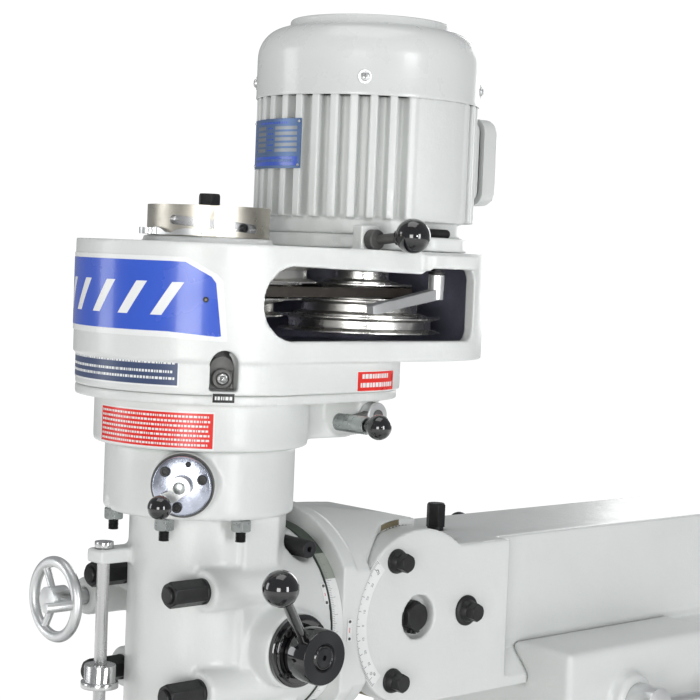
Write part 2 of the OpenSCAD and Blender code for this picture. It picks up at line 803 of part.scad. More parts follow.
module drawbar() color(black) at_head() {
    translate([0, 0, -515]) cylinder(r = 5.5, h = 557);
    translate([0, 0, 12]) cylinder(r = 10, h = 29);
    translate([0, 0, 40]) hex(19.05, 13.8);
}

// One rim of a step pulley: a vee groove between two flat lands
function rim(r, z) = [[r, z], [r, z - 1.5], [r - groove_depth, z - groove_pitch / 2 + belt_w / 2 + 0.4],
                      [r - groove_depth, z - groove_pitch / 2 - belt_w / 2 - 0.4],
                      [r, z - groove_pitch + 1.5], [r, z - groove_pitch]];

module step_pulley(radii, bore) rotate_extrude()
    polygon(concat([[bore, groove_top]],
                   [for (i = [0 : 3]) each rim(radii[i], groove_top - i * groove_pitch)],
                   [[bore, groove_top - 4 * groove_pitch]]));

module spindle_pulley() color(steel) at_head() {
    hub_bottom = -128;
    step_pulley(spindle_steps, 14 + run_fit);
    translate([0, 0, hub_bottom]) ring(30, 14 + run_fit, groove_top - 4 * groove_pitch - hub_bottom + 1);
    translate([0, 0, groove_top - 1]) ring(20, 14 + run_fit, 45);
}

module bull_gear() {
    teeth = 48;
    pitch = 360 / teeth;
    flank = [[66, 0], [66, 0.45], [71, 0.56], [71, 0.89]];
    color(iron) at_head() translate([0, 0, -168]) difference() {
        union() {
            linear_extrude(20) polygon([for (i = [0 : teeth - 1], p = flank)
                p[0] * [cos(pitch * (i + p[1])), sin(pitch * (i + p[1]))]]);
            cylinder(r = 29.5, h = 39.9);
        }
        translate([0, 0, -1]) cylinder(r = 14 + run_fit, h = 60);
    }
}

// ---- Motor ----------------------------------------------------------------

module motor_fins(z0, z1)
    for (side = [-90, 90], i = [-7 : 7])
        rotate([0, 0, side + i * fin_step])
            translate([90, -4.2, z0]) cube([fin_r - 90, 8.4, z1 - z0]);

module motor_frame() color(paint) at_motor() difference() {
    union() {
        translate([0, 0, 21 + eps]) cylinder(r = 101, h = 16);
        translate([0, 0, 36]) cylinder(r = 99, h = 121);
        motor_fins(37, 157);
        for (a = [0, 180])
            rotate([0, 0, a]) intersection() {
                translate([0, 0, 36]) cylinder(r = 113, h = 121);
                block([40, -38, 30], [120, 38, 160]);
            }
        translate([0, 0, 60]) linear_extrude(90) translate([0, 100]) square([70, 20], center = true);
    }
    translate([0, 0, 40]) cylinder(r = 58, h = 105);
    cylinder(r = 15, h = 200);
    // Flat for the terminal box
    block([-54, 110, 58], [54, 120, 151]);
}

// Outline of the cowl from its skirt, over the round shoulder, to the cap
function cowl_outline(r, top, wall) = concat(
    [[r - wall, 157], [r, 157]],
    [for (a = [0 : 10 : 90]) [r - 37 + 37 * cos(a), top - 42 + 30 * sin(a)]],
    [[78.5, top - 12], [78.5, top], [0, top], [0, top - wall], [76, top - wall], [76, top - 12 - wall]],
    [for (a = [90 : -10 : 0]) [r - 37 + (37 - wall) * cos(a), top - 42 + (30 - wall) * sin(a)]]);

module motor_cowl() color(paint) at_motor() difference() {
    rotate_extrude() polygon(cowl_outline(cowl_r, 250, 2.5));
    for (a = [0 : 15 : 345])
        rotate([0, 0, a]) translate([28, -3, 240]) cube([42, 6, 20]);
}

module motor_screws() color(iron) at_motor()
    for (a = [45 : 90 : 315])
        rotate([0, 0, a]) translate([cowl_r + eps, 0, 174]) along_x() {
            cylinder(r = 7, h = 1);
            cylinder(r = 4.5, h = 4);
        }

module terminal_box() color(paint) at_motor() {
    translate([0, 110 + eps, 104.5]) along_y() linear_extrude(8) round_rect(100, 84, 10);
    translate([0, 118, 104.5]) along_y() linear_extrude(4) round_rect(92, 76, 8);
    translate([0, 121, 104.5]) along_y() linear_extrude(24) round_rect(108, 92, 14);
    // Cable gland
    translate([0, 130, 40]) cylinder(r = 11, h = 20);
}

module motor_mount() {
    foot_slot = 13;
    color(paint) at_motor() difference() {
        translate([0, 0, belt_top + 0.5]) linear_extrude(14) union() {
            circle(r = 108);
            round_rect(252, 56, 14);
        }
        cylinder(r = 60, h = 60, center = true);
        for (s = [-1, 1])
            translate([s * 110, 5, 0]) linear_extrude(40)
                round_rect(foot_slot, foot_slot + 12, foot_slot / 2 - eps);
        // Room for the tension lever when the motor moves forward
        block([85, -110, 0], [115, -59, 40]);
    }
}

module motor_rotor() color(steel) at_motor() {
    translate([0, 0, -80]) cylinder(r = 14, h = 262);
    translate([0, 0, 45]) cylinder(r = 57, h = 95);
}

module motor_pulley() color(steel) at_motor() {
    step_pulley(motor_steps, 14 + run_fit / 2);
}

module cooling_fan() color([0.3, 0.3, 0.3]) at_motor() {
    blades = 8;
    translate([0, 0, 163]) difference() {
        union() {
            cylinder(r = 26, h = 24);
            cylinder(r = 95, h = 3);
            for (i = [0 : blades - 1])
                rotate([0, 0, i * 360 / blades]) translate([20, -1.5, 0]) cube([72, 3, 22]);
        }
        translate([0, 0, -1]) cylinder(r = 14 + run_fit / 2, h = 30);
    }
}

// ---- Head controls --------------------------------------------------------

module tension_lever() color(black) at_head() {
    translate([86, 121, 16]) along_x() cylinder(r = 7, h = 18);
    translate([100, 121, 16]) along_x() cylinder(r = 9, h = 10);
    rod([106, 122, 16], [140, 138, 21], 5);
    ball([140, 138, 21]);
}

module motor_lock() color(alloy) at_head() {
    translate([110, pulley_gap, -39.5]) cylinder(r = 8, h = 27);
    rod([110, pulley_gap - 3, -35], [131, 95, -50.6], 4.5);
    ball([131, 95, -50.6], 5.5);
}

module range_lever() color(alloy) at_head() {
    pivot = [100.3, 128, -154];
    knee_point = [120, 84, -159];
    translate([90.5, pivot[1], pivot[2]]) along_x() cylinder(r = 7, h = 11);
    translate(pivot) along_x() cylinder(r = 12, h = 14);
    rod(pivot + [8, 0, 0], knee_point, 6);
    rod(knee_point - [4, 0, 0], [152, 84, -159], 7.5);
    ball([160, 84, -159], 12);
}

module feed_crank() color(alloy) at_head() rotate([0, 0, feed_angle]) translate([0, 0, feed_z]) {
    translate([92, 0, 0]) along_x() cylinder(r = 7, h = 21);
    translate([112.6, 0, 0]) along_x() cylinder(r = 12, h = 15);
    rod([122, 0, 0], [122, -14, -12], 5.5);
    rod([120, -14, -12], [150, -14, -12], 4);
    color(black) ball([156, -14, -12], 11);
}

module quill_lever() color(black) at_head() {
    tip = [164, -33, -299];
    translate([-50, pinion_y, pinion_z]) along_x() cylinder(r = 9, h = 180);
    translate([-13, pinion_y, pinion_z]) along_x() cylinder(r = pinion_r, h = 26);
    translate([110.6, pinion_y, pinion_z]) along_x() cylinder(r = 26.5, h = 29);
    rod([125, pinion_y - 14, pinion_z + 14], tip, 5);
    ball(tip);
}

// A dished handwheel on the +Z axis with a crank handle
module handwheel(r, rim_r, hub_r, hub_h, handle) {
    rotate_extrude() translate([r - rim_r, 0]) circle(r = rim_r, $fn = 24);
    translate([0, 0, -hub_h / 2]) cylinder(r = hub_r, h = hub_h);
    for (a = [0 : 120 : 240])
        rotate([0, 0, a]) rod([hub_r - 2, 0, 0], [r - rim_r, 0, 0], rim_r * 0.7);
    translate([r - 1.5 * rim_r, 0, 0]) cylinder(r = 0.9 * rim_r, h = handle);
}

module fine_feed_wheel() color(alloy) at_head() translate([fine_x, -66.5, fine_z]) {
    translate([0, -30, 0]) along_y() cylinder(r = 8, h = 75);
    translate([0, -32, 0]) rotate([90, 0, 0]) handwheel(42, 5.5, 13, 20, 34);
}

module quill_lock() color(black) at_head() {
    hub = [74.4, -22, -530];
    translate([62, hub[1], hub[2]]) along_x() cylinder(r = 7, h = 14);
    translate(hub) along_x() cylinder(r = 12, h = 13);
    rod(hub + [7, 0, 0], [90, -72, -548], 4.5);
    ball([90, -72, -548], 9);
}

module stop_nut() color(bright) at_head() translate([stop_x, stop_y, -420]) {
    ring(15, 6 + run_fit, 22);
    ring(18, 6 + run_fit, 6);
}

// ---- Knee, saddle and table ----------------------------------------------

module knee_dovetail(extra = 0, y0 = knee_front, y1 = way_y - 20)
    front_prism([[-95 - extra, knee_ways - 1], [95 + extra, knee_ways - 1],
                 [120 + extra, knee_top + extra], [-120 - extra, knee_top + extra]], y0, y1);

module knee() {
    rear = way_y + 29;
    wall = 48;
    bridge_z = 618;
    color(paint) difference() {
        union() {
            side_prism([[rear, knee_lower], [rear, knee_ways], [knee_front, knee_ways],
                        [knee_front, 620], [-330, knee_lower + 40], [-120, knee_lower]], knee_w);
            block([-knee_w / 2, way_y - 19, knee_ways - 1], [knee_w / 2, rear, knee_top - 14]);
            knee_dovetail();
        }
        dovetail(95, 22, 30, knee_lower - 1, knee_top + 1, gap);
        // Cavity, open at the bottom, with a bridge for the elevating screw
        difference() {
            block([-100, knee_front + 30, knee_lower - 1], [100, -62, knee_ways - 18]);
            block([-101, lift_y - 60, bridge_z], [101, lift_y + 60, bridge_z + 22]);
        }
        translate([0, lift_y, bridge_z - 1]) cylinder(r = lift_r + run_fit, h = 24);
        // Slot for the cross feed nut
        block([-30, knee_front + wall, knee_ways - 20], [30, -90, knee_top + 2]);
        translate([0, knee_front - 1, cross_z]) along_y() cylinder(r = screw_r + run_fit, h = wall + 2);
        translate([0, knee_front - 1, crank_z]) along_y() cylinder(r = screw_r + run_fit, h = 40);
        // Space below the rear of the saddle
        block([-165, -1000, knee_top + 0.2], [165, way_y - 0.5, knee_top + 40]);
    }
}

module knee_screw() color(steel) translate([0, lift_y, 0]) {
    translate([0, 0, 255]) cylinder(r = lift_r, h = 410);
    translate([0, 0, 640.5]) cylinder(r = 32, h = 3);
    translate([0, 0, 643]) cylinder(r1 = 45, r2 = 40, h = 21.5);
}

module knee_crank() {
    out_y = knee_front - 140;
    color(steel) {
        translate([0, out_y, crank_z]) along_y() cylinder(r = screw_r, h = lift_y - out_y - 22);
        translate([0, lift_y - 44, crank_z]) along_y() cylinder(r = 19.5, h = 20);
        translate([0, knee_front - 28, crank_z]) along_y() cylinder(r = 30, h = 27.5);
        translate([0, out_y - 14, crank_z]) along_y() cylinder(r = 20, h = 28);
        rod([0, out_y, crank_z], [120, out_y - 16, crank_z - 70], 9);
        translate([120, out_y - 16, crank_z - 70]) rotate([90, 0, 0]) {
            sphere(r = 14, $fn = 48);
            cylinder(r = 12, h = 95);
        }
    }
}

// A clamp lever on a horizontal hub, leaning by [dx, dy, dz]
module clamp_lever(hub, dir, lean) color(black) {
    translate(hub) rotate(dir) cylinder(r = 11, h = 10);
    translate(hub) rotate(dir) translate([0, 0, 15]) sphere(r = 13, $fn = 48);
    rod(hub + lean * 0.15, hub + lean, 6);
    ball(hub + lean, 12);
}

module knee_lock() clamp_lever([-knee_w / 2 - 0.4, -40, 640], [0, -90, 0], [-40, -90, 30]);
module saddle_lock() clamp_lever([-saddle_w / 2 - 0.4, spindle_y - 60, 830], [0, -90, 0], [-38, -60, -35]);
module table_lock() clamp_lever([70, spindle_y - saddle_l / 2 - 0.4, 865], [90, 0, 0], [46, -38, -4]);

module table_dovetail(extra, x)
    translate([-x, spindle_y, 0]) rotate([90, 0, 90]) linear_extrude(2 * x)
        polygon([[-95 - extra, 868 - extra], [95 + extra, 868 - extra],
                 [74 + extra, table_bottom + 1], [-74 - extra, table_bottom + 1]]);

module saddle() {
    y0 = spindle_y - saddle_l / 2;
    y1 = spindle_y + saddle_l / 2;
    color(paint) {
        difference() {
            block([-saddle_w / 2, y0, knee_ways + 0.5], [saddle_w / 2, y1, saddle_top]);
            knee_dovetail(gap, y0 - 1, y1 + 1);
            table_dovetail(gap, saddle_w);
        }
        // Cross feed nut
        difference() {
            block([-24, spindle_y - 30, 742], [24, spindle_y + 30, knee_top + 10]);
            translate([0, spindle_y - 31, cross_z]) along_y() cylinder(r = screw_r + run_fit, h = 62);
        }
        // Table feed nut
        difference() {
            block([-30, spindle_y - 18, 860], [30, spindle_y + 18, 897.5]);
            translate([-31, spindle_y, table_screw_z]) along_x() cylinder(r = screw_r + run_fit, h = 62);
        }
    }
}

module cross_screw() color(steel) translate([0, knee_front, cross_z]) {
    translate([0, -60, 0]) along_y() cylinder(r = screw_r, h = knee_l - 30);
    translate([0, -26, 0]) along_y() cylinder(r = 32, h = 25.5);
    translate([0, -48, 0]) rotate([90, 0, 0]) handwheel(62, 7, 20, 30, 60);
}

module table() {
    z_tee = table_top - 18;
    tee_w = 28;
    tee_h = 12;
    end_x = table_l / 2;
    color(steel) difference() {
        union() {
            block([-end_x, spindle_y - table_w / 2, table_bottom],
                  [end_x, spindle_y + table_w / 2, table_top]);
            table_dovetail(0, end_x);
            for (s = [-1, 1])
                translate([s * (end_x + 13), spindle_y, 900]) rotate([90, 0, 90])
                    linear_extrude(27, center = true) round_rect(130, 64, 18);
        }
        for (i = [-1 : 1]) {
            translate([0, spindle_y + i * slot_pitch, 0])
                block([-table_l, -slot_w / 2, z_tee - 1], [table_l, slot_w / 2, table_top + 1]);
            translate([0, spindle_y + i * slot_pitch, 0])
                block([-table_l, -tee_w / 2, z_tee - tee_h], [table_l, tee_w / 2, z_tee]);
        }
        // Channel for the table screw, ending at the brackets
        block([-end_x - 0.5, spindle_y - 20, 860], [end_x + 0.5, spindle_y + 20, 900]);
        translate([-table_l, spindle_y, table_screw_z]) along_x()
            cylinder(r = screw_r + run_fit, h = 2 * table_l);
        // Stop groove along the front edge
        block([-table_l, spindle_y - table_w / 2 - 1, 925], [table_l, spindle_y - table_w / 2 + 8, 937]);
    }
}

module table_screw() {
    half = table_l / 2 + 27;
    color(steel) translate([0, spindle_y, table_screw_z]) {
        translate([-half - 60, 0, 0]) along_x() cylinder(r = screw_r, h = 2 * half + 120);
        for (s = [-1, 1]) {
            translate([s * (half + 0.4), 0, 0]) rotate([0, s * 90, 0]) cylinder(r = 32, h = 24);
            translate([s * (half + 48), 0, 0]) rotate([0, s * 90, 0]) handwheel(72, 8, 20, 30, 64);
        }
    }
}

// ---- The machine ----------------------------------------------------------

base();
column();
elevating_nut();
electrical_cabinet();
turret();
turret_bolts();
ram_lock_front();
ram_lock_rear();
ram_crank();
ram();
nod_fasteners();
nod_scale();
nod_worm();
ram_adapter();
nod_gear();
tilt_scale();
quill_housing();
gear_housing();
belt_housing();
tilt_bolts();
head_bolts();
pinion_cap();
grease_fitting();
head_plates();
feed_cover();
stop_screw();
v_belt();
tilt_worm();
cam_ring();
quill();
spindle();
drawbar();
spindle_pulley();
bull_gear();
motor_frame();
motor_cowl();
motor_screws();
terminal_box();
motor_mount();
motor_rotor();
motor_pulley();
cooling_fan();
tension_lever();
motor_lock();
range_lever();
feed_crank();
quill_lever();
fine_feed_wheel();
quill_lock();
stop_nut();
knee();
knee_screw();
knee_crank();
knee_lock();
saddle();
saddle_lock();
cross_screw();
table();
table_screw();
table_lock();
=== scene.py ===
import json
from math import asin, cos, degrees, pi, radians, sin, sqrt

import bmesh
import bpy
import numpy as np
from mathutils import Matrix, Vector

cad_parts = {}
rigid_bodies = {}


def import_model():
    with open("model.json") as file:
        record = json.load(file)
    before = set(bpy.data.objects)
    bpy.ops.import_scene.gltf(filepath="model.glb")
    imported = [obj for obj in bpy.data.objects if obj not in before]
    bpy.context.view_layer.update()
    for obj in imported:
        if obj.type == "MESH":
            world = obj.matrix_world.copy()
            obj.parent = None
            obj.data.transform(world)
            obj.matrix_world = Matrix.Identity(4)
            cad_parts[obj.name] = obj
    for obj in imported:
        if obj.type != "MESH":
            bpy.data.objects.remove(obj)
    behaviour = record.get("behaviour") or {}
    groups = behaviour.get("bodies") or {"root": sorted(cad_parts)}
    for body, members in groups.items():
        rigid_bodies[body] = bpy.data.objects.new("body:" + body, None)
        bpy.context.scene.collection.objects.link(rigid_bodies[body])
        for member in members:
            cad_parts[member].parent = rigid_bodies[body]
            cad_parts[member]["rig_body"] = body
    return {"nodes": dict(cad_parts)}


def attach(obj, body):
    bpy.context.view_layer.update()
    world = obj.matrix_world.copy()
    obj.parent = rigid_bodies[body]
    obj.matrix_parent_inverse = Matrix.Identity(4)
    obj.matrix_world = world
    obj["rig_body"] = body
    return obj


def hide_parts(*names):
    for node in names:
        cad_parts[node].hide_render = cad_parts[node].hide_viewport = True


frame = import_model()
BODY = {n: o["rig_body"] for n, o in frame["nodes"].items()}
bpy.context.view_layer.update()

# Places in the machine frame, in millimetres
PULLEY_GAP = 203.3      # between the spindle's axis and the motor's
AXIS_DROP = 365.1       # from the head's datum down to the tilt axis
EAR_FACE = 89.05        # outer face of the ram's ears, from the middle
RING_R = 96.8           # outer radius of the tilt scale
FEED_AXIS = (46, -376)  # y and z of the quill feed shaft, from the head's datum
HEAD = Vector((0, -295, 1900))
MOTOR = HEAD + Vector((0, PULLEY_GAP, 0))
NOD = Vector((0, -74.7, 1534.9))


# ---- Camera, light and stage ------------------------------------------------
def camera():
    cam = bpy.data.cameras.new("camera")
    cam.lens, cam.sensor_width = 92.9, 36
    cam.clip_start, cam.clip_end = 0.05, 200
    o = bpy.data.objects.new("camera", cam)
    bpy.context.collection.objects.link(o)
    side = Vector((0.68226, 0.73111, 0))
    ahead = Vector((-0.73111, 0.68226, 0))
    pitch, roll = radians(2.99), radians(2.34)
    forward = ahead * cos(pitch) - Vector((0, 0, sin(pitch)))
    up = Vector((0, 0, cos(pitch))) + ahead * sin(pitch)
    right = side * cos(roll) + up * sin(roll)
    up = up * cos(roll) - side * sin(roll)
    o.matrix_world = Matrix((right, up, -forward)).transposed().to_4x4()
    o.location = (1.3681, -1.3792, 1.900)
    bpy.context.scene.camera = o


def area_light(name, at, towards, size, power, tint=(1, 1, 1), spread_deg=180):
    light = bpy.data.lights.new(name, "AREA")
    light.shape, light.size, light.size_y = "RECTANGLE", size[0], size[1]
    light.energy, light.color, light.spread = power, tint, radians(spread_deg)
    o = bpy.data.objects.new(name, light)
    bpy.context.collection.objects.link(o)
    o.location = at
    o.rotation_euler = (Vector(towards) - Vector(at)).to_track_quat("-Z", "Y").to_euler()


# ---- Materials ----------------------------------------------------------------
def new_material(name):
    m = bpy.data.materials.new(name)
    m.use_nodes = True
    t = m.node_tree
    t.nodes.clear()
    out = t.nodes.new("ShaderNodeOutputMaterial")
    b = t.nodes.new("ShaderNodeBsdfPrincipled")
    t.links.new(b.outputs[0], out.inputs[0])
    return m, t, b


def add(t, kind, **sockets):
    n = t.nodes.new("ShaderNode" + kind)
    for k, v in sockets.items():
        if k in n.inputs:
            n.inputs[k].default_value = v
        else:
            setattr(n, k, v)
    return n


def noise(t, source, scale, detail=4, stretch=None, rough=0.55):
    """A noise value read from the source coordinates, stretched along its axes."""
    if stretch:
        m = add(t, "Mapping")
        m.inputs["Scale"].default_value = stretch
        t.links.new(source, m.inputs[0])
        source = m.outputs[0]
    n = add(t, "TexNoise", Scale=scale, Detail=detail, Roughness=rough)
    t.links.new(source, n.inputs["Vector"])
    return n.outputs["Fac"]


def spread(t, value, lo, hi, a=0.3, b=0.7):
    n = add(t, "MapRange")
    for i, x in enumerate((a, b, lo, hi)):
        n.inputs[i + 1].default_value = x
    t.links.new(value, n.inputs[0])
    return n.outputs[0]


def mix(t, fac, a, b):
    n = add(t, "Mix", data_type="RGBA")
    if isinstance(fac, float):
        n.inputs[0].default_value = fac
    else:
        t.links.new(fac, n.inputs[0])
    for i, c in ((6, a), (7, b)):
        if isinstance(c, tuple):
            n.inputs[i].default_value = (*c, 1)
        else:
            t.links.new(c, n.inputs[i])
    return n.outputs[2]


def bump(t, height, distance, strength=1.0, under=None):
    n = add(t, "Bump", Strength=strength, Distance=distance)
    t.links.new(height, n.inputs["Height"])
    if under:
        t.links.new(under, n.inputs["Normal"])
    return n.outputs[0]


def finish_of(name, colour, rough, metal=0.0, tone=0.08, tone_scale=9.0, grain=(), turned=0.0,
              rough_spread=0.06, **sockets):
    """A finish with slow tone changes, layers of surface grain and turning marks."""
    m, t, b = new_material(name)
    where = add(t, "TexCoord")
    place, uv = where.outputs["Object"], where.outputs["UV"]
    slow = noise(t, place, tone_scale, 3)
    low = tuple(c * (1 - tone) for c in colour)
    high = tuple(min(1.0, c * (1 + tone)) for c in colour)
    base = mix(t, spread(t, slow, 0, 1), low, high)
    normal = None
    for scale, distance in grain:
        normal = bump(t, noise(t, place, scale, 4), distance, 1.0, normal)
    rough_out = spread(t, noise(t, place, tone_scale * 4, 5), rough - rough_spread, rough + rough_spread)
    if turned:
        lines = noise(t, uv, 1.0, 6, (0.015, 2.2, 1), 0.75)
        normal = bump(t, lines, 0.00003, turned, normal)
        base = mix(t, spread(t, lines, 0, 1, 0.25, 0.75), base, tuple(c * 0.82 for c in colour))
        tangent = add(t, "Tangent", direction_type="UV_MAP")
        t.links.new(tangent.outputs[0], b.inputs["Tangent"])
        b.inputs["Anisotropic"].default_value = 0.6
    t.links.new(base, b.inputs["Base Color"])
    t.links.new(rough_out, b.inputs["Roughness"])
    if normal:
        t.links.new(normal, b.inputs["Normal"])
    b.inputs["Metallic"].default_value = metal
    for k, v in sockets.items():
        b.inputs[k.replace("_", " ")].default_value = v
    return m


PAINT = (0.69, 0.705, 0.69)
M = {
    "paint": finish_of("paint", PAINT, 0.36, tone=0.03, tone_scale=7, grain=((90, 0.0006), (650, 0.00008)),
                       Coat_Weight=0.25, Coat_Roughness=0.18),
    "paint_smooth": finish_of("paint_smooth", PAINT, 0.3, tone=0.02, grain=((40, 0.0003), (900, 0.00004)),
                              Coat_Weight=0.35, Coat_Roughness=0.12),
    # A darker, bluish grey for faces inside the belt housing and the motor cowl's vents: painted shade.
    "inside_painted_shade": finish_of("inside_painted_shade", (0.27, 0.275, 0.36), 0.42, tone=0.2, tone_scale=14,
                              grain=((120, 0.0005),)),
    "turned_steel": finish_of("turned_steel", (0.56, 0.53, 0.46), 0.3, 1.0, turned=0.5),
    "pulley_metal": finish_of("pulley_metal", (0.72, 0.71, 0.68), 0.27, 1.0, turned=0.6),
    "bright_steel": finish_of("bright_steel", (0.66, 0.66, 0.66), 0.25, 1.0, turned=0.4),
    "ground_iron": finish_of("ground_iron", (0.42, 0.42, 0.42), 0.33, 1.0, tone=0.12, tone_scale=20,
                             grain=((700, 0.00002),), rough_spread=0.1),
    "bare_iron": finish_of("bare_iron", (0.13, 0.13, 0.125), 0.5, 0.7, tone=0.25, grain=((300, 0.0003),)),
    "black_oxide": finish_of("black_oxide", (0.022, 0.022, 0.023), 0.42, 0.35, tone=0.35, tone_scale=60,
                             grain=((800, 0.00005),), rough_spread=0.08),
    "black_gloss": finish_of("black_gloss", (0.006, 0.006, 0.007), 0.08, tone=0.3, grain=((30, 0.0001),),
                             rough_spread=0.03, Coat_Weight=1.0, Coat_Roughness=0.04),
    "black_satin": finish_of("black_satin", (0.03, 0.031, 0.034), 0.34, 0.5, tone=0.2, turned=0.3),
    "cast_alloy": finish_of("cast_alloy", (0.72, 0.73, 0.73), 0.38, 0.85, tone=0.06, tone_scale=40,
                            grain=((500, 0.0001),)),
    "zinc": finish_of("zinc", (0.42, 0.45, 0.44), 0.3, 1.0, tone=0.15, tone_scale=60,
                      grain=((500, 0.00004),)),
    "blue_steel": finish_of("blue_steel", (0.50, 0.53, 0.62), 0.24, 1.0, tone=0.15, tone_scale=50,
                            grain=((260, 0.00005),)),
    "belt_rubber": finish_of("belt_rubber", (0.034, 0.028, 0.022), 0.6, tone=0.3, tone_scale=50,
                             grain=((900, 0.0002),)),
    "black_rubber_and_recess_shade": finish_of("black_rubber_and_recess_shade", (0.01, 0.01, 0.011), 0.45, tone=0.3, grain=((400, 0.0002),)),
    "gear_bronze": finish_of("gear_bronze", (0.26, 0.22, 0.14), 0.45, 0.6, tone=0.3, tone_scale=40,
                             grain=((400, 0.0002),)),
    "plate_white": finish_of("plate_white", (0.8, 0.81, 0.8), 0.3, tone=0.03, grain=((300, 0.00005),)),
    "plate_blue": finish_of("plate_blue", (0.035, 0.10, 0.56), 0.25, tone=0.03, tone_scale=5,
                            grain=((300, 0.00005),), Coat_Weight=0.4, Coat_Roughness=0.1),
    "plate_navy": finish_of("plate_navy", (0.045, 0.07, 0.15), 0.35, tone=0.1, grain=((300, 0.00005),)),
    "plate_red": finish_of("plate_red", (0.72, 0.02, 0.012), 0.3, tone=0.08, grain=((300, 0.00005),)),
    "plate_black": finish_of("plate_black", (0.012, 0.012, 0.012), 0.35, tone=0.2, grain=((300, 0.00005),)),
    "plate_pale": finish_of("plate_pale", (0.10, 0.17, 0.33), 0.35, 0.35, tone=0.1, tone_scale=40,
                            grain=((700, 0.00002),)),
    "plate_silver": finish_of("plate_silver", (0.26, 0.28, 0.30), 0.38, 0.6, tone=0.1, tone_scale=40,
                              grain=((700, 0.00002),)),
    "ring_dark": finish_of("ring_dark", (0.105, 0.125, 0.105), 0.38, 0.6, tone=0.25, grain=((500, 0.0001),)),
    "ring_grey": finish_of("ring_grey", (0.40, 0.43, 0.38), 0.34, 0.4, tone=0.15, grain=((500, 0.0001),)),
    "mark_grey": finish_of("mark_grey", (0.16, 0.17, 0.17), 0.5, tone=0.1),
}


# ---- Piece builder -------------------------------------------------------------
def facing(origin, axis):
    """A frame at origin whose +Z points along axis."""
    return Matrix.Translation(origin) @ Vector(axis).to_track_quat("Z", "Y").to_matrix().to_4x4()


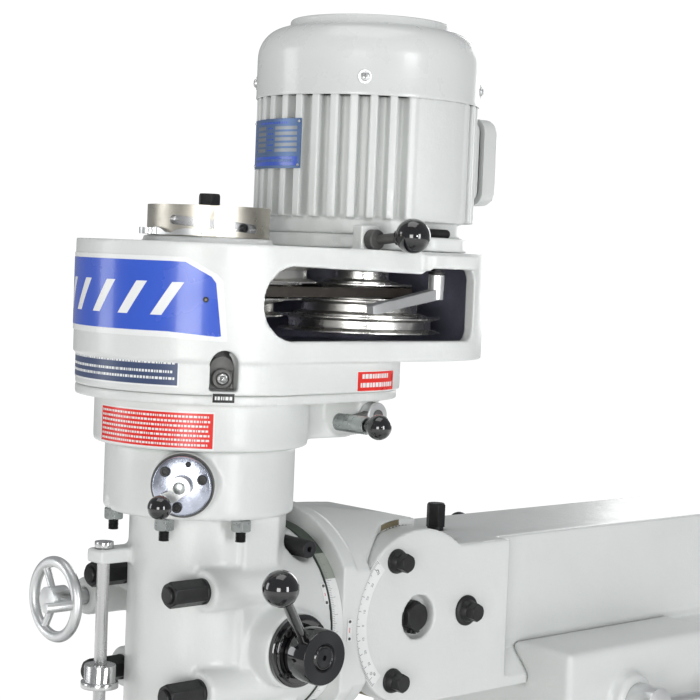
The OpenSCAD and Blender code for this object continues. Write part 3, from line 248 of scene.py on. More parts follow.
class Piece:
    """Gathers shapes in millimetres and makes one object of them that rides on a body."""

    def __init__(self, name, body, *finishes):
        self.name, self.body, self.finishes = name, body, finishes
        self.v, self.f, self.m, self.uv = [], [], [], []
        self.at = Matrix.Identity(4)

    def put(self, verts, faces, mat=0, uvs=None):
        n = len(self.v)
        self.v += [self.at @ Vector(p) for p in verts]
        for k, f in enumerate(faces):
            self.f.append([n + i for i in f])
            self.m.append(mat)
            self.uv += uvs[k] if uvs else [(verts[i][0], verts[i][1]) for i in f]

    def rings(self, rows, mat=0, closed=False, bands=None):
        """Skins rows of points, one row per ring; closed joins the last row to the first."""
        n, seg = len(rows), len(rows[0])
        verts = [p for row in rows for p in row]
        run = [0.0]
        for a, b in zip(rows, rows[1:] + rows[:1]):
            run.append(run[-1] + max((Vector(a[i]) - Vector(b[i])).length for i in (0, seg // 3)))
        width = sum((Vector(rows[n // 2][i]) - Vector(rows[n // 2][i - 1])).length for i in range(seg)) / seg
        faces, uvs = [], []
        for k in range(n if closed else n - 1):
            a, b = k * seg, (k + 1) % n * seg
            for i in range(seg):
                j = (i + 1) % seg
                faces.append((a + i, a + j, b + j, b + i))
                u0, u1 = i * width, (i + 1) * width
                uvs.append([(u0, run[k]), (u1, run[k]), (u1, run[k + 1]), (u0, run[k + 1])])
        if bands:
            for k in range(len(faces) // seg):
                part = slice(k * seg, (k + 1) * seg)
                self.put_shared(verts, faces[part], bands[k], uvs[part], k == 0)
        else:
            self.put(verts, faces, mat, uvs)
        if not closed:
            base = len(self.v) - len(verts)
            for ring, flip in ((range(seg - 1, -1, -1), 0), (range((n - 1) * seg, n * seg), 1)):
                ring = list(ring)
                self.f.append([base + i for i in ring])
                self.m.append(bands[-flip] if bands else mat)
                self.uv += [(verts[i][0], verts[i][1]) for i in ring]

    def put_shared(self, verts, faces, mat, uvs, first):
        if first:
            self.shared = len(self.v)
            self.v += [self.at @ Vector(p) for p in verts]
        for k, f in enumerate(faces):
            self.f.append([self.shared + i for i in f])
            self.m.append(mat)
            self.uv += uvs[k]

    def lathe(self, profile, mat=0, seg=96, bands=None, closed=False):
        """Turns a profile of (radius, height) round the +Z of the current frame."""
        rows = [[(max(r, 0.02) * cos(a), max(r, 0.02) * sin(a), z)
                 for a in np.linspace(0, 2 * pi, seg, endpoint=False)] for r, z in profile]
        self.rings(rows, mat, closed, bands)

    def prism(self, outline, z0, z1, mat=0):
        self.rings([[(x, y, z) for x, y in outline] for z in (z0, z1)], mat)

    def hexagon(self, af, z0, z1, chamfer=(0.0, 1.0), mat=0):
        """A hexagon bar whose ends are turned off by a cone, as on a nut or a bolt head."""
        def radius(a, limit):
            flat = af / 2 / cos((a + pi / 6) % (pi / 3) - pi / 6)
            return min(flat, limit)
        corner, rows = af / sqrt(3), []
        for end, z, s in ((0, z0, 1), (1, z1, -1)):
            c = chamfer[end]
            part = []
            for k in range(6):
                depth = c * k / 5
                limit = af / 2 * 0.96 + (corner - af / 2 * 0.96) * (k / 5)
                part.append([(radius(a, limit) * cos(a), radius(a, limit) * sin(a), z + s * depth)
                             for a in np.linspace(0, 2 * pi, 96, endpoint=False)])
            part = part if c else part[-1:]
            rows += part if end == 0 else part[::-1]
        self.rings(rows, mat)

    def knob(self, at, axis, r, collar=0.5, mat=0, stem=0.0):
        """A ball knob that sits on its collar; axis points from the ball away from its rod."""
        keep = self.at
        self.at = keep @ facing(at, axis)
        start = asin(collar)
        low = -r * cos(start)
        turn = [(r * sin(a), -r * cos(a)) for a in np.linspace(start, pi, 40)]
        self.lathe([(r * collar * 0.96, low - r * 0.12 - stem), (r * collar, low - r * 0.08)] + turn, mat, 64)
        self.at = keep

    def tube(self, points, radii, mat=0, seg=32):
        points = [Vector(p) for p in points]
        radii = radii if isinstance(radii, (list, tuple)) else [radii] * len(points)
        rows, up = [], None
        for k, p in enumerate(points):
            d = (points[min(k + 1, len(points) - 1)] - points[max(k - 1, 0)]).normalized()
            up = d.orthogonal().normalized() if up is None else (up - d * up.dot(d)).normalized()
            side = d.cross(up)
            rows.append([p + (up * cos(a) + side * sin(a)) * radii[k]
                         for a in np.linspace(0, 2 * pi, seg, endpoint=False)])
        self.rings(rows, mat)

    def box(self, lo, hi, mat=0):
        self.prism([(lo[0], lo[1]), (hi[0], lo[1]), (hi[0], hi[1]), (lo[0], hi[1])], lo[2], hi[2], mat)

    def on_cylinder(self, r, s0, s1, low, high, t, mat=0, steps=None):
        """A plate that wraps a cylinder: low and high give its lower and upper edge along the arc."""
        n = steps or max(2, int(abs(s1 - s0) / 2))
        ss = sorted(set(np.linspace(s0, s1, n + 1)) | {s for s, _ in low + high if s0 < s < s1})
        lo = np.interp(ss, *zip(*low))
        hi = np.interp(ss, *zip(*high))
        rows = []
        for s, a, b in zip(ss, lo, hi):
            c = s / r
            rows.append([(rad * cos(c), rad * sin(c), z) for rad, z in
                         ((r, a), (r + t, a), (r + t, b), (r, b))])
        self.rings(rows, mat)

    def done(self, replaces=(), bevel=0.4, angle=35, shape=None):
        mesh = bpy.data.meshes.new(self.name)
        mesh.from_pydata([tuple(p * 0.001) for p in self.v], [], self.f)
        mesh.uv_layers.new(name="UVMap").data.foreach_set("uv", np.array(self.uv, np.float32).ravel())
        for f in self.finishes:
            mesh.materials.append(M[f])
        mesh.polygons.foreach_set("material_index", self.m)
        o = bpy.data.objects.new(self.name, mesh)
        bpy.context.collection.objects.link(o)
        b = bmesh.new()
        b.from_mesh(mesh)
        bmesh.ops.recalc_face_normals(b, faces=b.faces)
        b.to_mesh(mesh)
        b.free()
        if shape:
            shape(o)
        soften(o, bevel, angle)
        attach(o, self.body)
        if replaces:
            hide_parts(*replaces)


def soften(o, width, angle=35):
    """Rounds the hard edges of an object by width millimetres and shades the rest smooth."""
    o.data.shade_smooth()
    o.data.set_sharp_from_angle(angle=radians(angle))
    if width:
        b = o.modifiers.new("edges", "BEVEL")
        b.width, b.segments, b.limit_method = width * 0.001, 2, "ANGLE"
        b.angle_limit = radians(angle)
        b.use_clamp_overlap = True
        b.harden_normals = True


def baked(o):
    """Applies an object's modifiers to its mesh."""
    dg = bpy.context.evaluated_depsgraph_get()
    mesh = bpy.data.meshes.new_from_object(o.evaluated_get(dg))
    o.modifiers.clear()
    o.data = mesh


def machined(node, finish, width):
    """A CAD node that keeps its shape: its edges are broken and it takes a finish."""
    o = frame["nodes"][node]
    o.data.materials.clear()
    o.data.materials.append(M[finish])
    o.data.polygons.foreach_set("material_index", [0] * len(o.data.polygons))
    w = o.modifiers.new("weld", "WELD")
    w.merge_threshold = 0.00002
    d = o.modifiers.new("flat", "DECIMATE")
    d.decimate_type, d.angle_limit = "DISSOLVE", radians(0.6)
    soften(o, width, 30)


def cast(node, voxel, rounds, inside=None):
    """A painted casting: the CAD node's shape with every edge rounded off."""
    mesh = frame["nodes"][node].data.copy()
    mesh.materials.clear()
    o = bpy.data.objects.new(node + "_casting", mesh)
    bpy.context.collection.objects.link(o)
    r = o.modifiers.new("run", "REMESH")
    r.mode, r.voxel_size, r.use_smooth_shade = "VOXEL", voxel * 0.001, True
    s = o.modifiers.new("round", "SMOOTH")
    s.factor, s.iterations = 0.5, rounds
    baked(o)
    o.data.materials.clear()
    o.data.materials.append(M["paint"])
    # The faces that inside picks take the darker, bluish inside finish: painted shade.
    if inside:
        o.data.materials.append(M["inside_painted_shade"])
        c = np.zeros(len(o.data.polygons) * 3, np.float32)
        o.data.polygons.foreach_get("center", c)
        c = c.reshape(-1, 3) * 1000
        o.data.polygons.foreach_set("material_index", inside(c).astype(np.int32))
    o.data.shade_smooth()
    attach(o, BODY[node])
    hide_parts(node)


def round_rect(w, h, r, steps=6):
    pts = []
    for cx, cy, a in ((w / 2 - r, h / 2 - r, 0), (r - w / 2, h / 2 - r, 90), (r - w / 2, r - h / 2, 180),
                      (w / 2 - r, r - h / 2, 270)):
        for k in range(steps + 1):
            b = radians(a + 90 * k / steps)
            pts.append((cx + r * cos(b), cy + r * sin(b)))
    return pts


def stadium(c, r1, r2, d):
    """Whether points lie inside two circles joined along +Y, d apart."""
    t = np.clip(c[:, 1] / d, 0, 1)
    return np.hypot(c[:, 0], c[:, 1] - t * d) < r1 + (r2 - r1) * t


# ---- Small parts used in many places --------------------------------------------
def socket_screw(p, r, h, mat=0, dark=1):
    """A socket head screw on +Z: knurled cap with a hexagon recess whose walls and floor take the dark
    finish, a painted shade.
    """
    p.lathe([(r * 0.96, 0), (r, 0.4), (r, h - 0.5), (r - 0.5, h), (r * 0.56, h), (r * 0.52, h - 0.4),
             (r * 0.5, h - 1.6)], mat, 40, bands=[mat] * 4 + [dark] * 2)
    for k in range(24):
        x, y = r * cos(k * pi / 12), r * sin(k * pi / 12)
        p.tube([(x, y, 0.8), (x, y, h - 1)], 0.22, mat, 6)


def rivet(p, r=1.3, mat=0):
    dome = [(r * cos(a), 0.25 + 0.7 * r * sin(a)) for a in np.linspace(0.1, 1.5, 6)]
    p.lathe([(r, 0), (r, 0.25)] + dome, mat, 20)


def thread(p, r, z0, z1, pitch=1.5, mat=0):
    """A threaded bar along +Z."""
    rows, z = [(r - 0.9, z0)], z0 + 0.4
    while z < z1 - pitch:
        rows += [(r, z), (r, z + 0.2), (r - 0.75, z + pitch * 0.55), (r - 0.75, z + pitch * 0.65)]
        z += pitch
    p.lathe(rows + [(r - 0.6, z1)], mat, 32)


def cross_screw(p, r, h, mat=0, dark=1):
    """A pan head screw on +Z with its washer and a cross recess, drawn as a dark cross on the head: painted
    shade.
    """
    p.lathe([(r * 1.5, 0), (r * 1.5, 0.9), (r, 0.9), (r, h * 0.6), (r * 0.7, h * 0.9), (r * 0.25, h)],
            mat, 40)
    # Two thin boxes in the dark finish, just proud of the head, stand for the shaded recess: painted shade.
    for s in (0, 1):
        a, b = (r * 0.55, 0.55) if s else (0.55, r * 0.55)
        p.box((-a, -b, h - 0.4), (a, b, h + 0.06), dark)


def text_rows(p, r, s0, s1, rows, height, mat, seed):
    """Rows of plain dashes that stand for printing on a curved plate."""
    rng = np.random.RandomState(seed)
    for z in rows:
        s = s0
        while s < s1 - 2:
            w = min(float(rng.uniform(0.8, 3.4)), s1 - s)
            top = z + height
            p.on_cylinder(r, s, s + w, [(s, z), (s + w, z)], [(s, top), (s + w, top)], 0.12, mat, 1)
            s += w + 0.9


def numeral(text, size):
    """The outline mesh of a dial number, as vertices in mm and faces."""
    c = bpy.data.curves.new("numeral", "FONT")
    c.body, c.size, c.align_x, c.align_y, c.extrude, c.resolution_u = text, size, "CENTER", "CENTER", 0.04, 2
    o = bpy.data.objects.new("numeral", c)
    bpy.context.collection.objects.link(o)
    mesh = bpy.data.meshes.new_from_object(o.evaluated_get(bpy.context.evaluated_depsgraph_get()))
    out = [tuple(v.co) for v in mesh.vertices], [tuple(f.vertices) for f in mesh.polygons]
    bpy.data.objects.remove(o)
    return out


def cut(o, tool):
    """Cuts the tool out of an object; the tool's finishes carry over."""
    m = o.modifiers.new("cut", "BOOLEAN")
    m.operation, m.solver, m.object = "DIFFERENCE", "EXACT", tool
    baked(o)
    bpy.data.objects.remove(tool)


def tool_mesh(p, finishes):
    mesh = bpy.data.meshes.new("tool")
    mesh.from_pydata([tuple(q * 0.001) for q in p.v], [], p.f)
    for f in finishes:
        mesh.materials.append(M[f])
    mesh.polygons.foreach_set("material_index", p.m)
    b = bmesh.new()
    b.from_mesh(mesh)
    bmesh.ops.recalc_face_normals(b, faces=b.faces)
    b.to_mesh(mesh)
    b.free()
    o = bpy.data.objects.new("tool", mesh)
    bpy.context.collection.objects.link(o)
    return o


def T(*v):
    return Matrix.Translation(Vector(v))


def Rz(deg):
    return Matrix.Rotation(radians(deg), 4, "Z")


X_AXIS, Y_AXIS, Z_AXIS = (1, 0, 0), (0, 1, 0), (0, 0, 1)
AT_HEAD, AT_MOTOR, AT_NOD = Matrix.Translation(HEAD), Matrix.Translation(MOTOR), Matrix.Translation(NOD)
AT_TILT = AT_HEAD @ T(0, 0, -AXIS_DROP) @ Matrix.Rotation(radians(90), 4, "X")


# ---- Head castings ----------------------------------------------------------------
def head_castings():
    # Faces inside the belt housing, which take the darker inside finish as painted shade.
    def inside_belt(c):
        q = c - np.array(HEAD)
        return stadium(q, 116.7, 116.7, PULLEY_GAP) & (q[:, 2] > -93) & (q[:, 2] < -1.6)
    cast("belt_housing", 1.5, 5, inside=inside_belt)
    cast("gear_housing", 1.6, 4)
    cast("quill_housing", 2.0, 14)
    cast("motor_frame", 1.4, 3)
    cast("motor_mount", 1.5, 4)
    cast("ram_adapter", 1.8, 6)
    cast("ram", 2.4, 3)


# ---- Head: turned and bought parts ---------------------------------------------
def cam_ring():
    p = Piece("cam_ring_turned", "cam_ring", "turned_steel", "bright_steel", "black_oxide")
    p.at = AT_HEAD
    p.lathe([(44, 12.4), (58.8, 12.4), (58.8, 41.4), (44, 41.4)], 0, 256, closed=True)

    def slot(o):
        r, half = 58.8, 4.3
        s0, s1 = radians(-76.4) * r, radians(12.4) * r
        ss = np.linspace(s0, s1, 90)
        mid = 26.9 - 0.0763 * (np.degrees(ss / r) + 72)
        end = np.minimum(ss - s0, s1 - ss)
        h = np.where(end < half, np.sqrt(np.maximum(half ** 2 - (half - end) ** 2, 0.01)), half)
        c = Piece("tool", "cam_ring", "turned_steel")
        c.at = AT_HEAD
        c.on_cylinder(53.6, s0 * 53.6 / r, s1 * 53.6 / r,
                      [(s * 53.6 / r, m - k) for s, m, k in zip(ss, mid, h)],
                      [(s * 53.6 / r, m + k) for s, m, k in zip(ss, mid, h)], 8, 1)
        cut(o, tool_mesh(c, ("turned_steel", "bright_steel")))
    p.done(("cam_ring",), 0.45, 30, slot)
    q = Piece("cam_ring_lever", "cam_ring", "cast_alloy", "black_oxide")
    q.at = AT_HEAD
    r = 58.9
    top = [(-108, 19), (-100, 18.5), (-90, 20), (-84, 18.6), (-78, 15.2), (-72, 14.6), (-66, 17.6),
           (-59, 19.2), (-52, 19), (-44.3, 19.1)]
    pts = [(radians(a) * r, z) for a, z in top]
    q.on_cylinder(r, pts[0][0], pts[-1][0], [(pts[0][0], 12.6), (pts[-1][0], 12.9)], pts, 4.2, 0, 60)
    q.at = AT_HEAD @ Rz(-100) @ T(55.8, 0, 12.9)
    q.rings([[(x, y * s, z) for x, y in [(0, -13), (9, -11)] + [(9 + 8 * sin(a), -8 * cos(a))
              for a in np.linspace(0, pi, 12)] + [(9, 11), (0, 13)]] for z, s in ((0, 1), (6, 1))], 0)
    q.at = AT_HEAD @ Rz(-1.5) @ facing((53.6, 0, 21.3), X_AXIS)
    socket_screw(q, 3.9, 4.2, 1, 1)
    q.done(bevel=0.5)


def drawbar():
    p = Piece("drawbar_black", "spindle", "black_oxide")
    p.at = AT_HEAD
    p.lathe([(5.4, -515), (5.5, -514), (5.5, 12), (10, 12), (10, 40), (5, 40.5)], 0, 48)
    p.hexagon(19.05, 40, 53.8, (0, 2.6))
    p.done(("drawbar",), 0.3)


def step_pulley(name, body, at, radii, bore, node, extra=()):
    p = Piece(name, body, "pulley_metal")
    p.at = at
    z, rows = -11.5, [(bore, -11.5)]
    for r in radii:
        rows += [(r - 0.4, z), (r, z - 0.4), (r, z - 1.6), (r - 9.6, z - 4.0), (r - 10, z - 4.6)]
        rows += [(r - 10, z - 11.9), (r - 9.6, z - 12.5), (r, z - 14.9), (r, z - 16.1), (r - 0.4, z - 16.5)]
        z -= 16.5
    rows += list(extra) + [(bore, z if not extra else extra[-1][1])]
    p.lathe(rows, 0, 160, closed=True)
    p.done((node,), 0.0, 28)


def pulleys():
    step_pulley("spindle_pulley_turned", "pulley", AT_HEAD, (106, 92, 75, 60.5), 14.1, "spindle_pulley",
                ((30, -77.5), (30, -128)))
    step_pulley("motor_pulley_turned", "rotor", AT_MOTOR, (39, 54, 70, 84.5), 14.1, "motor_pulley")
    p = Piece("spindle_pulley_sleeve", "pulley", "bright_steel")
    p.at = AT_HEAD
    p.lathe([(14.1, -12), (20, -12), (20, 32.5), (14.1, 32.5)], 0, 64, closed=True)
    p.done()
    b = Piece("v_belt_rubber", "head", "belt_rubber")
    b.at = AT_HEAD
    r1, r2, d, z = 92.0, 54.0, PULLEY_GAP, -36.25
    lean = asin((r1 - r2) / d)
    path = [((0, 0), r1, a) for a in np.linspace(-pi - lean, lean, 80)]
    path += [((0, d), r2, a) for a in np.linspace(lean, pi - lean, 50)]
    section = [(0, -4.3), (0.5, -4.8), (0.7, 0), (0.5, 4.8), (0, 4.3), (-8.2, 3.1), (-8.4, 0), (-8.2, -3.1)]
    rows = [[(c[0] + (r + o - 0.4) * cos(a), c[1] + (r + o - 0.4) * sin(a), z + h) for o, h in section]
            for c, r, a in path]
    b.rings(rows, 0, closed=True)
    b.done(("v_belt",), 0.0, 30)


def motor():
    p = Piece("motor_cowl_pressed", "motor", "paint_smooth", "inside_painted_shade")
    p.at = AT_MOTOR
    r, top, dome = 115.2, 239, 198
    out = [(r - 2.4, 157.0), (r - 1.2, 156.4), (r, 157), (r + 0.4, 158.4), (r, 160)]
    out += [(r - 30 + 30 * cos(a), dome + 32 * sin(a)) for a in np.linspace(0, pi / 2, 24)]
    out += [(84.6, 230.2), (83.4, 231), (83, 232), (82.8, top - 3)]
    out += [(79.8 + 3 * cos(a), top - 3 + 3 * sin(a)) for a in np.linspace(0.2, pi / 2, 6)]
    out += [(40, top), (4, top), (4, top - 2.4), (40, top - 2.4), (78, top - 2.6), (80.4, top - 4)]
    out += [(80.4, 228)]
    out += [(r - 30 + 27.6 * cos(a), dome + 29.6 * sin(a)) for a in np.linspace(pi / 2, 0, 16)]
    p.lathe(out, 0, 180, closed=True)

    def vents(o):
        # The vent walls that the cut leaves take the darker inside finish: painted shade in the slots.
        c = Piece("tool", "motor", "paint")
        for k in range(24):
            c.at = AT_MOTOR @ Rz(k * 15)
            c.prism([(x + 48, y) for x, y in round_rect(44, 5.4, 2.6)], top - 6, top + 4, 1)
        cut(o, tool_mesh(c, ("paint_smooth", "inside_painted_shade")))
    p.done(("motor_cowl",), 0.0, 30, vents)
    # The second finish colours the screws' cross recesses dark: painted shade.
    s = Piece("motor_cowl_screws", "motor", "cast_alloy", "bare_iron")
    for k in range(4):
        s.at = AT_MOTOR @ Rz(45 + 90 * k) @ facing((115.2, 0, 174), X_AXIS)
        cross_screw(s, 4.6, 3.6)
    s.done(("motor_screws",), 0.2)
    # Nameplate, wrapped round the fins
    n = Piece("motor_nameplate", "motor", "plate_pale", "plate_blue", "plate_silver", "bright_steel")
    n.at = AT_MOTOR
    r = 114.5
    s0, s1 = radians(-122) * r, radians(-77) * r
    flat = lambda z: [(s0, z), (s1, z)]
    n.on_cylinder(r, s0, s1, flat(83.8), flat(133), 0.8)
    n.on_cylinder(r + 0.75, s0 + 5, s1 - 5, flat(86.5), flat(95.5), 0.2, 1)
    text_rows(n, r + 0.93, s0 + 8, s1 - 9, (90.2,), 2.6, 0, 5)
    for k, z in enumerate((122, 116.5, 111, 105.5, 100)):
        for lo, hi in ((s0 + 14, s0 + 34), (s0 + 52, s1 - 6)):
            n.on_cylinder(r + 0.75, lo, hi, flat(z), flat(z + 3.4), 0.15, 2)
        text_rows(n, r + 0.8, s0 + 6, s0 + 12, (z + 0.8,), 1.4, 1, 7 + k)
        text_rows(n, r + 0.8, s0 + 38, s0 + 50, (z + 0.8,), 1.4, 1, 27 + k)
    text_rows(n, r + 0.8, s0 + 20, s1 - 20, (127.6,), 2.4, 1, 41)
    for s_at in (s0 + 3, s1 - 3):
        for z in (87, 130):
            n.at = AT_MOTOR @ Rz(degrees(s_at / r)) @ facing((r + 0.8, 0, z), X_AXIS)
            rivet(n, 1.5, 3)
    n.done(bevel=0.1)
    # Terminal box on the back
    b = Piece("terminal_box_cast", "motor", "paint", "black_rubber_and_recess_shade", "bright_steel")
    b.at = AT_MOTOR @ facing((0, 0, 104.5), Y_AXIS)

    def shell(w, h, r, z0, z1, edge, mat=0):
        rows = [[(x, y, z0) for x, y in round_rect(w, h, r)]]
        for k in range(7):
            a = k * pi / 12
            i = edge * (1 - cos(a))
            rows.append([(x, y, z1 - edge + edge * sin(a)) for x, y in round_rect(w - 2 * i, h - 2 * i, r)])
        b.rings(rows, mat)
    shell(100, 84, 10, 108, 118.2, 1.5)
    b.prism(round_rect(95, 79, 9), 117.5, 121.8, 1)
    shell(108, 92, 15, 121.2, 145, 8)
    for x in (-44, 44):
        for y in (-36, 36):
            b.at = AT_MOTOR @ facing((0, 0, 104.5), Y_AXIS) @ T(x, y, 143.2)
            b.lathe([(5.5, -1), (5.5, 0), (4, 0.3), (4, 1.5), (3.2, 1.8)], 2, 32)
    b.at = AT_MOTOR @ T(0, 130, 0)
    b.lathe([(9, 38), (11, 40), (11, 48), (12.5, 48), (12.5, 56), (11, 60)], 1, 48)
    b.done(("terminal_box",), 0.5)


def tension_and_lock():
    p = Piece("tension_lever_ball", "tension_lever", "black_gloss", "bare_iron")
    p.at = AT_HEAD
    d = (Vector((140, 138, 21)) - Vector((106, 122, 16))).normalized()
    p.tube([(100, 121, 15.5), (106, 122, 16), (126, 131.5, 19)], [4.6, 4.9, 4.9], 1)
    p.at = AT_HEAD @ facing((86, 121, 16), X_AXIS)
    p.lathe([(7, 0), (7, 14), (10, 14), (10, 23), (9, 24)], 1, 48)
    p.at = AT_HEAD
    p.knob((140, 138, 21), d, 17, 0.42)
    p.done(("tension_lever",), 0.3)
    q = Piece("motor_lock_lever", "motor_lock", "cast_alloy", "black_oxide")
    q.at = AT_HEAD @ T(110, PULLEY_GAP, 0)
    q.lathe([(7, -40.5), (7.6, -40), (7.6, -31.2), (7.9, -31), (7.9, -16), (6.5, -15)], 0, 64)
    q.lathe([(8.4, -15), (8.4, -12.6)], 1, 48)
    q.at = AT_HEAD
    a, b = Vector((110, 200, -35.4)), Vector((131, 94, -50.6))
    side = (b - a).cross(Vector((0, 0, 1))).normalized()
    up = side.cross(b - a).normalized()
    rows = []
    for k, w, h in ((0, 5.2, 5.4), (0.72, 4.6, 4.4), (0.76, 5.6, 5.3), (0.97, 5.2, 4.4), (1, 4.0, 3.4)):
        c = a + (b - a) * k
        rows.append([c + side * x * w + up * y * h for x, y in ((-1, -1), (1, -1), (1, 1), (-1, 1))])
    q.rings(rows)
    q.done(("motor_lock",), 1.2)
    # Stud beside the motor foot
    s = Piece("motor_foot_stud", "head", "black_oxide", "zinc")
    for x in (-1, 1):
        s.at = AT_HEAD @ facing((x * 110, 190, 25), Y_AXIS)
        thread(s, 4.6, 0, 26)
        s.at = AT_HEAD @ T(x * 110, PULLEY_GAP, 0)
        thread(s, 6, -12.2, 18)
    s.done(bevel=0)


def range_lever():
    p = Piece("range_lever_arm", "range_lever", "bare_iron", "black_gloss", "cast_alloy", "zinc")
    p.at = AT_HEAD @ facing((82, 128, -154), X_AXIS)
    p.lathe([(7, 0), (7, 18.4), (12.5, 18.4), (13, 19), (13, 29.5), (12, 30.5)], 2, 64)
    p.lathe([(6, 30), (6, 31.6), (5.2, 32.2)], 0, 48)
    p.at = AT_HEAD
    p.rings([[c + Vector(o) for o in ((0, -w, -w), (7, -w, -w), (7, w, w), (0, w, w))]
             for c, w in ((Vector((102, 126, -151)), 5.5), (Vector((106, 104, -156)), 5),
                          (Vector((108, 86, -158)), 5))], 0)
    p.at = AT_HEAD @ facing((104, 84, -159), X_AXIS)
    p.lathe([(7.5, 0), (8.5, 1), (8.5, 40), (8, 41), (5.5, 41.2)], 3, 64)
    p.at = AT_HEAD
    p.knob((160, 84, -159), X_AXIS, 12, 0.55, 1, 2.5)
    p.done(("range_lever",), 0.4)


def grease_fitting():
    p = Piece("grease_nipple", "head", "bare_iron", "bright_steel", "plate_black")
    p.at = AT_HEAD @ Rz(-29.5) @ facing((0, 0, -116), X_AXIS)

    def arch(half, foot, spring):
        top = [(half * cos(a), spring + half * sin(a)) for a in np.linspace(0, pi, 24)]
        return [(-half, foot), (half, foot)] + top
    # A thin black arch sheet on the pocket's back wall darkens the pocket: painted shade.
    p.prism(arch(12.9, -10.9, 13), 104.02, 104.3, 2)
    p.prism(arch(11, -10, 9), 104.3, 108, 0)
    p.lathe([(9.4, 107), (9.4, 112), (8.6, 112.8), (6, 113), (5.4, 111)], 0, 48)
    p.hexagon(9, 110, 114.5, (0, 0.8), 1)
    p.lathe([(3.2, 114), (3.2, 116.2), (2.4, 117), (2.6, 118.6), (3.1, 120), (2.4, 121.4), (1.1, 122.2),
             (0.8, 121)], 1, 32)
    p.done(("grease_fitting",), 0.3)


def head_plates():
    p = Piece("head_badge", "head", "plate_white", "plate_blue", "black_oxide", "gear_bronze")
    p.at = AT_HEAD
    r = 125.0

    def arc(points):
        half = [(radians(a) * r, z) for a, z in points]
        return [(-pi * r - s, z) for s, z in half[::-1]] + half
    top = arc([(-54, -7), (-46.8, -7.2), (-34.2, -21.5), (-31.6, -27.5), (-29, -81)])
    low = arc([(-54, -79.6), (-31, -82), (-29, -81.4)])
    p.on_cylinder(r + 0.05, top[0][0], top[-1][0], low, top, 0.7, 0, 150)
    top = arc([(-54, -11.3), (-47.4, -11.6), (-36.6, -24), (-34.6, -29.5), (-31.9, -76)])
    low = arc([(-54, -74.3), (-33.4, -77.6), (-31.9, -77)])
    p.on_cylinder(r + 0.7, top[0][0], top[-1][0], low, top, 0.25, 1, 150)
    for k in range(5):
        s0, s1 = radians(-126 + k * 16) * r, radians(-121 + k * 16) * r
        p.on_cylinder(r + 0.93, s0, s1 + 20, [(s0, -60), (s1, -60), (s1 + 20, -30)],
                      [(s0, -59.9), (s0 + 20, -30), (s1 + 20, -29.9)], 0.1, 0, 20)
    for a in (-38.4, -141.6):
        p.at = AT_HEAD @ Rz(a) @ facing((r + 0.9, 0, -44.6), X_AXIS)
        p.lathe([(2.6, 0), (2.6, 0.7), (1.8, 1.2)], 2, 24)
        p.lathe([(1.1, 1), (1.1, 1.5)], 3, 16)
    p.done(("head_plates",), 0.08)

    q = Piece("head_labels", "head", "plate_white", "plate_navy", "plate_red", "plate_black")
    q.at = AT_HEAD

    def label(r, a0, a1, z0, z1, mat, b, rows, height, seed):
        """A printed label on a cylinder between two angles, with a pale border b wide."""
        s0, s1 = radians(a0) * r, radians(a1) * r
        q.on_cylinder(r + 0.05, s0, s1, [(s0, z0), (s1, z0)], [(s0, z1), (s1, z1)], 0.35, 0)
        q.on_cylinder(r + 0.4, s0 + b, s1 - b, [(s0, z0 + b), (s1, z0 + b)], [(s0, z1 - b), (s1, z1 - b)],
                      0.12, mat)
        text_rows(q, r + 0.5, s0 + b + 2, s1 - b - 2, rows, height, 0, seed)
    label(122, -128, -48.6, -124.5, -82.4, 1, 1.6, (-90, -96, -104, -112, -118), 2.4, 3)
    label(103.2, -103, -31.6, -182.6, -147.4, 2, 1.6, [-153.2 - k * 4.3 for k in range(7)], 2.0, 11)
    label(122, -34.4, -24.6, -137.4, -128.4, 3, 0.4, (-134.6,), 3.2, 17)
    q.at = AT_HEAD @ T(0, 105, 0)
    r = 115
    s0, s1 = radians(-5.0) * r, radians(25.4) * r
    lean = asin(7 / 105)

    def side_label(out, s0, s1, z0, z1, t, mat):
        rows = []
        for k in range(41):
            s = s0 + (s1 - s0) * k / 40
            a, flat = max(s / r, lean), min(s - lean * r, 0)
            row = []
            for o, z in ((out, z0), (out, z1), (out + t, z1), (out + t, z0)):
                c, d = cos(a), sin(a)
                row.append(((r + o) * c - flat * d, (r + o) * d + flat * c, z))
            rows.append(row)
        q.rings(rows, mat)
    side_label(0.05, s0, s1, -129.8, -109.8, 0.35, 0)
    side_label(0.4, s0 + 0.8, s1 - 0.8, -129.0, -110.6, 0.12, 2)
    rng = np.random.RandomState(23)
    for z, begin, end in ((-117.2, 7, 12), (-125.6, 5, 5)):
        s = s0 + begin
        while s < s1 - end:
            w = float(rng.uniform(1.6, 4.6))
            side_label(0.5, s, min(s + w, s1 - end + 2), z, z + 4.4, 0.1, 0)
            s += w + 1.1
    q.done(bevel=0.05)


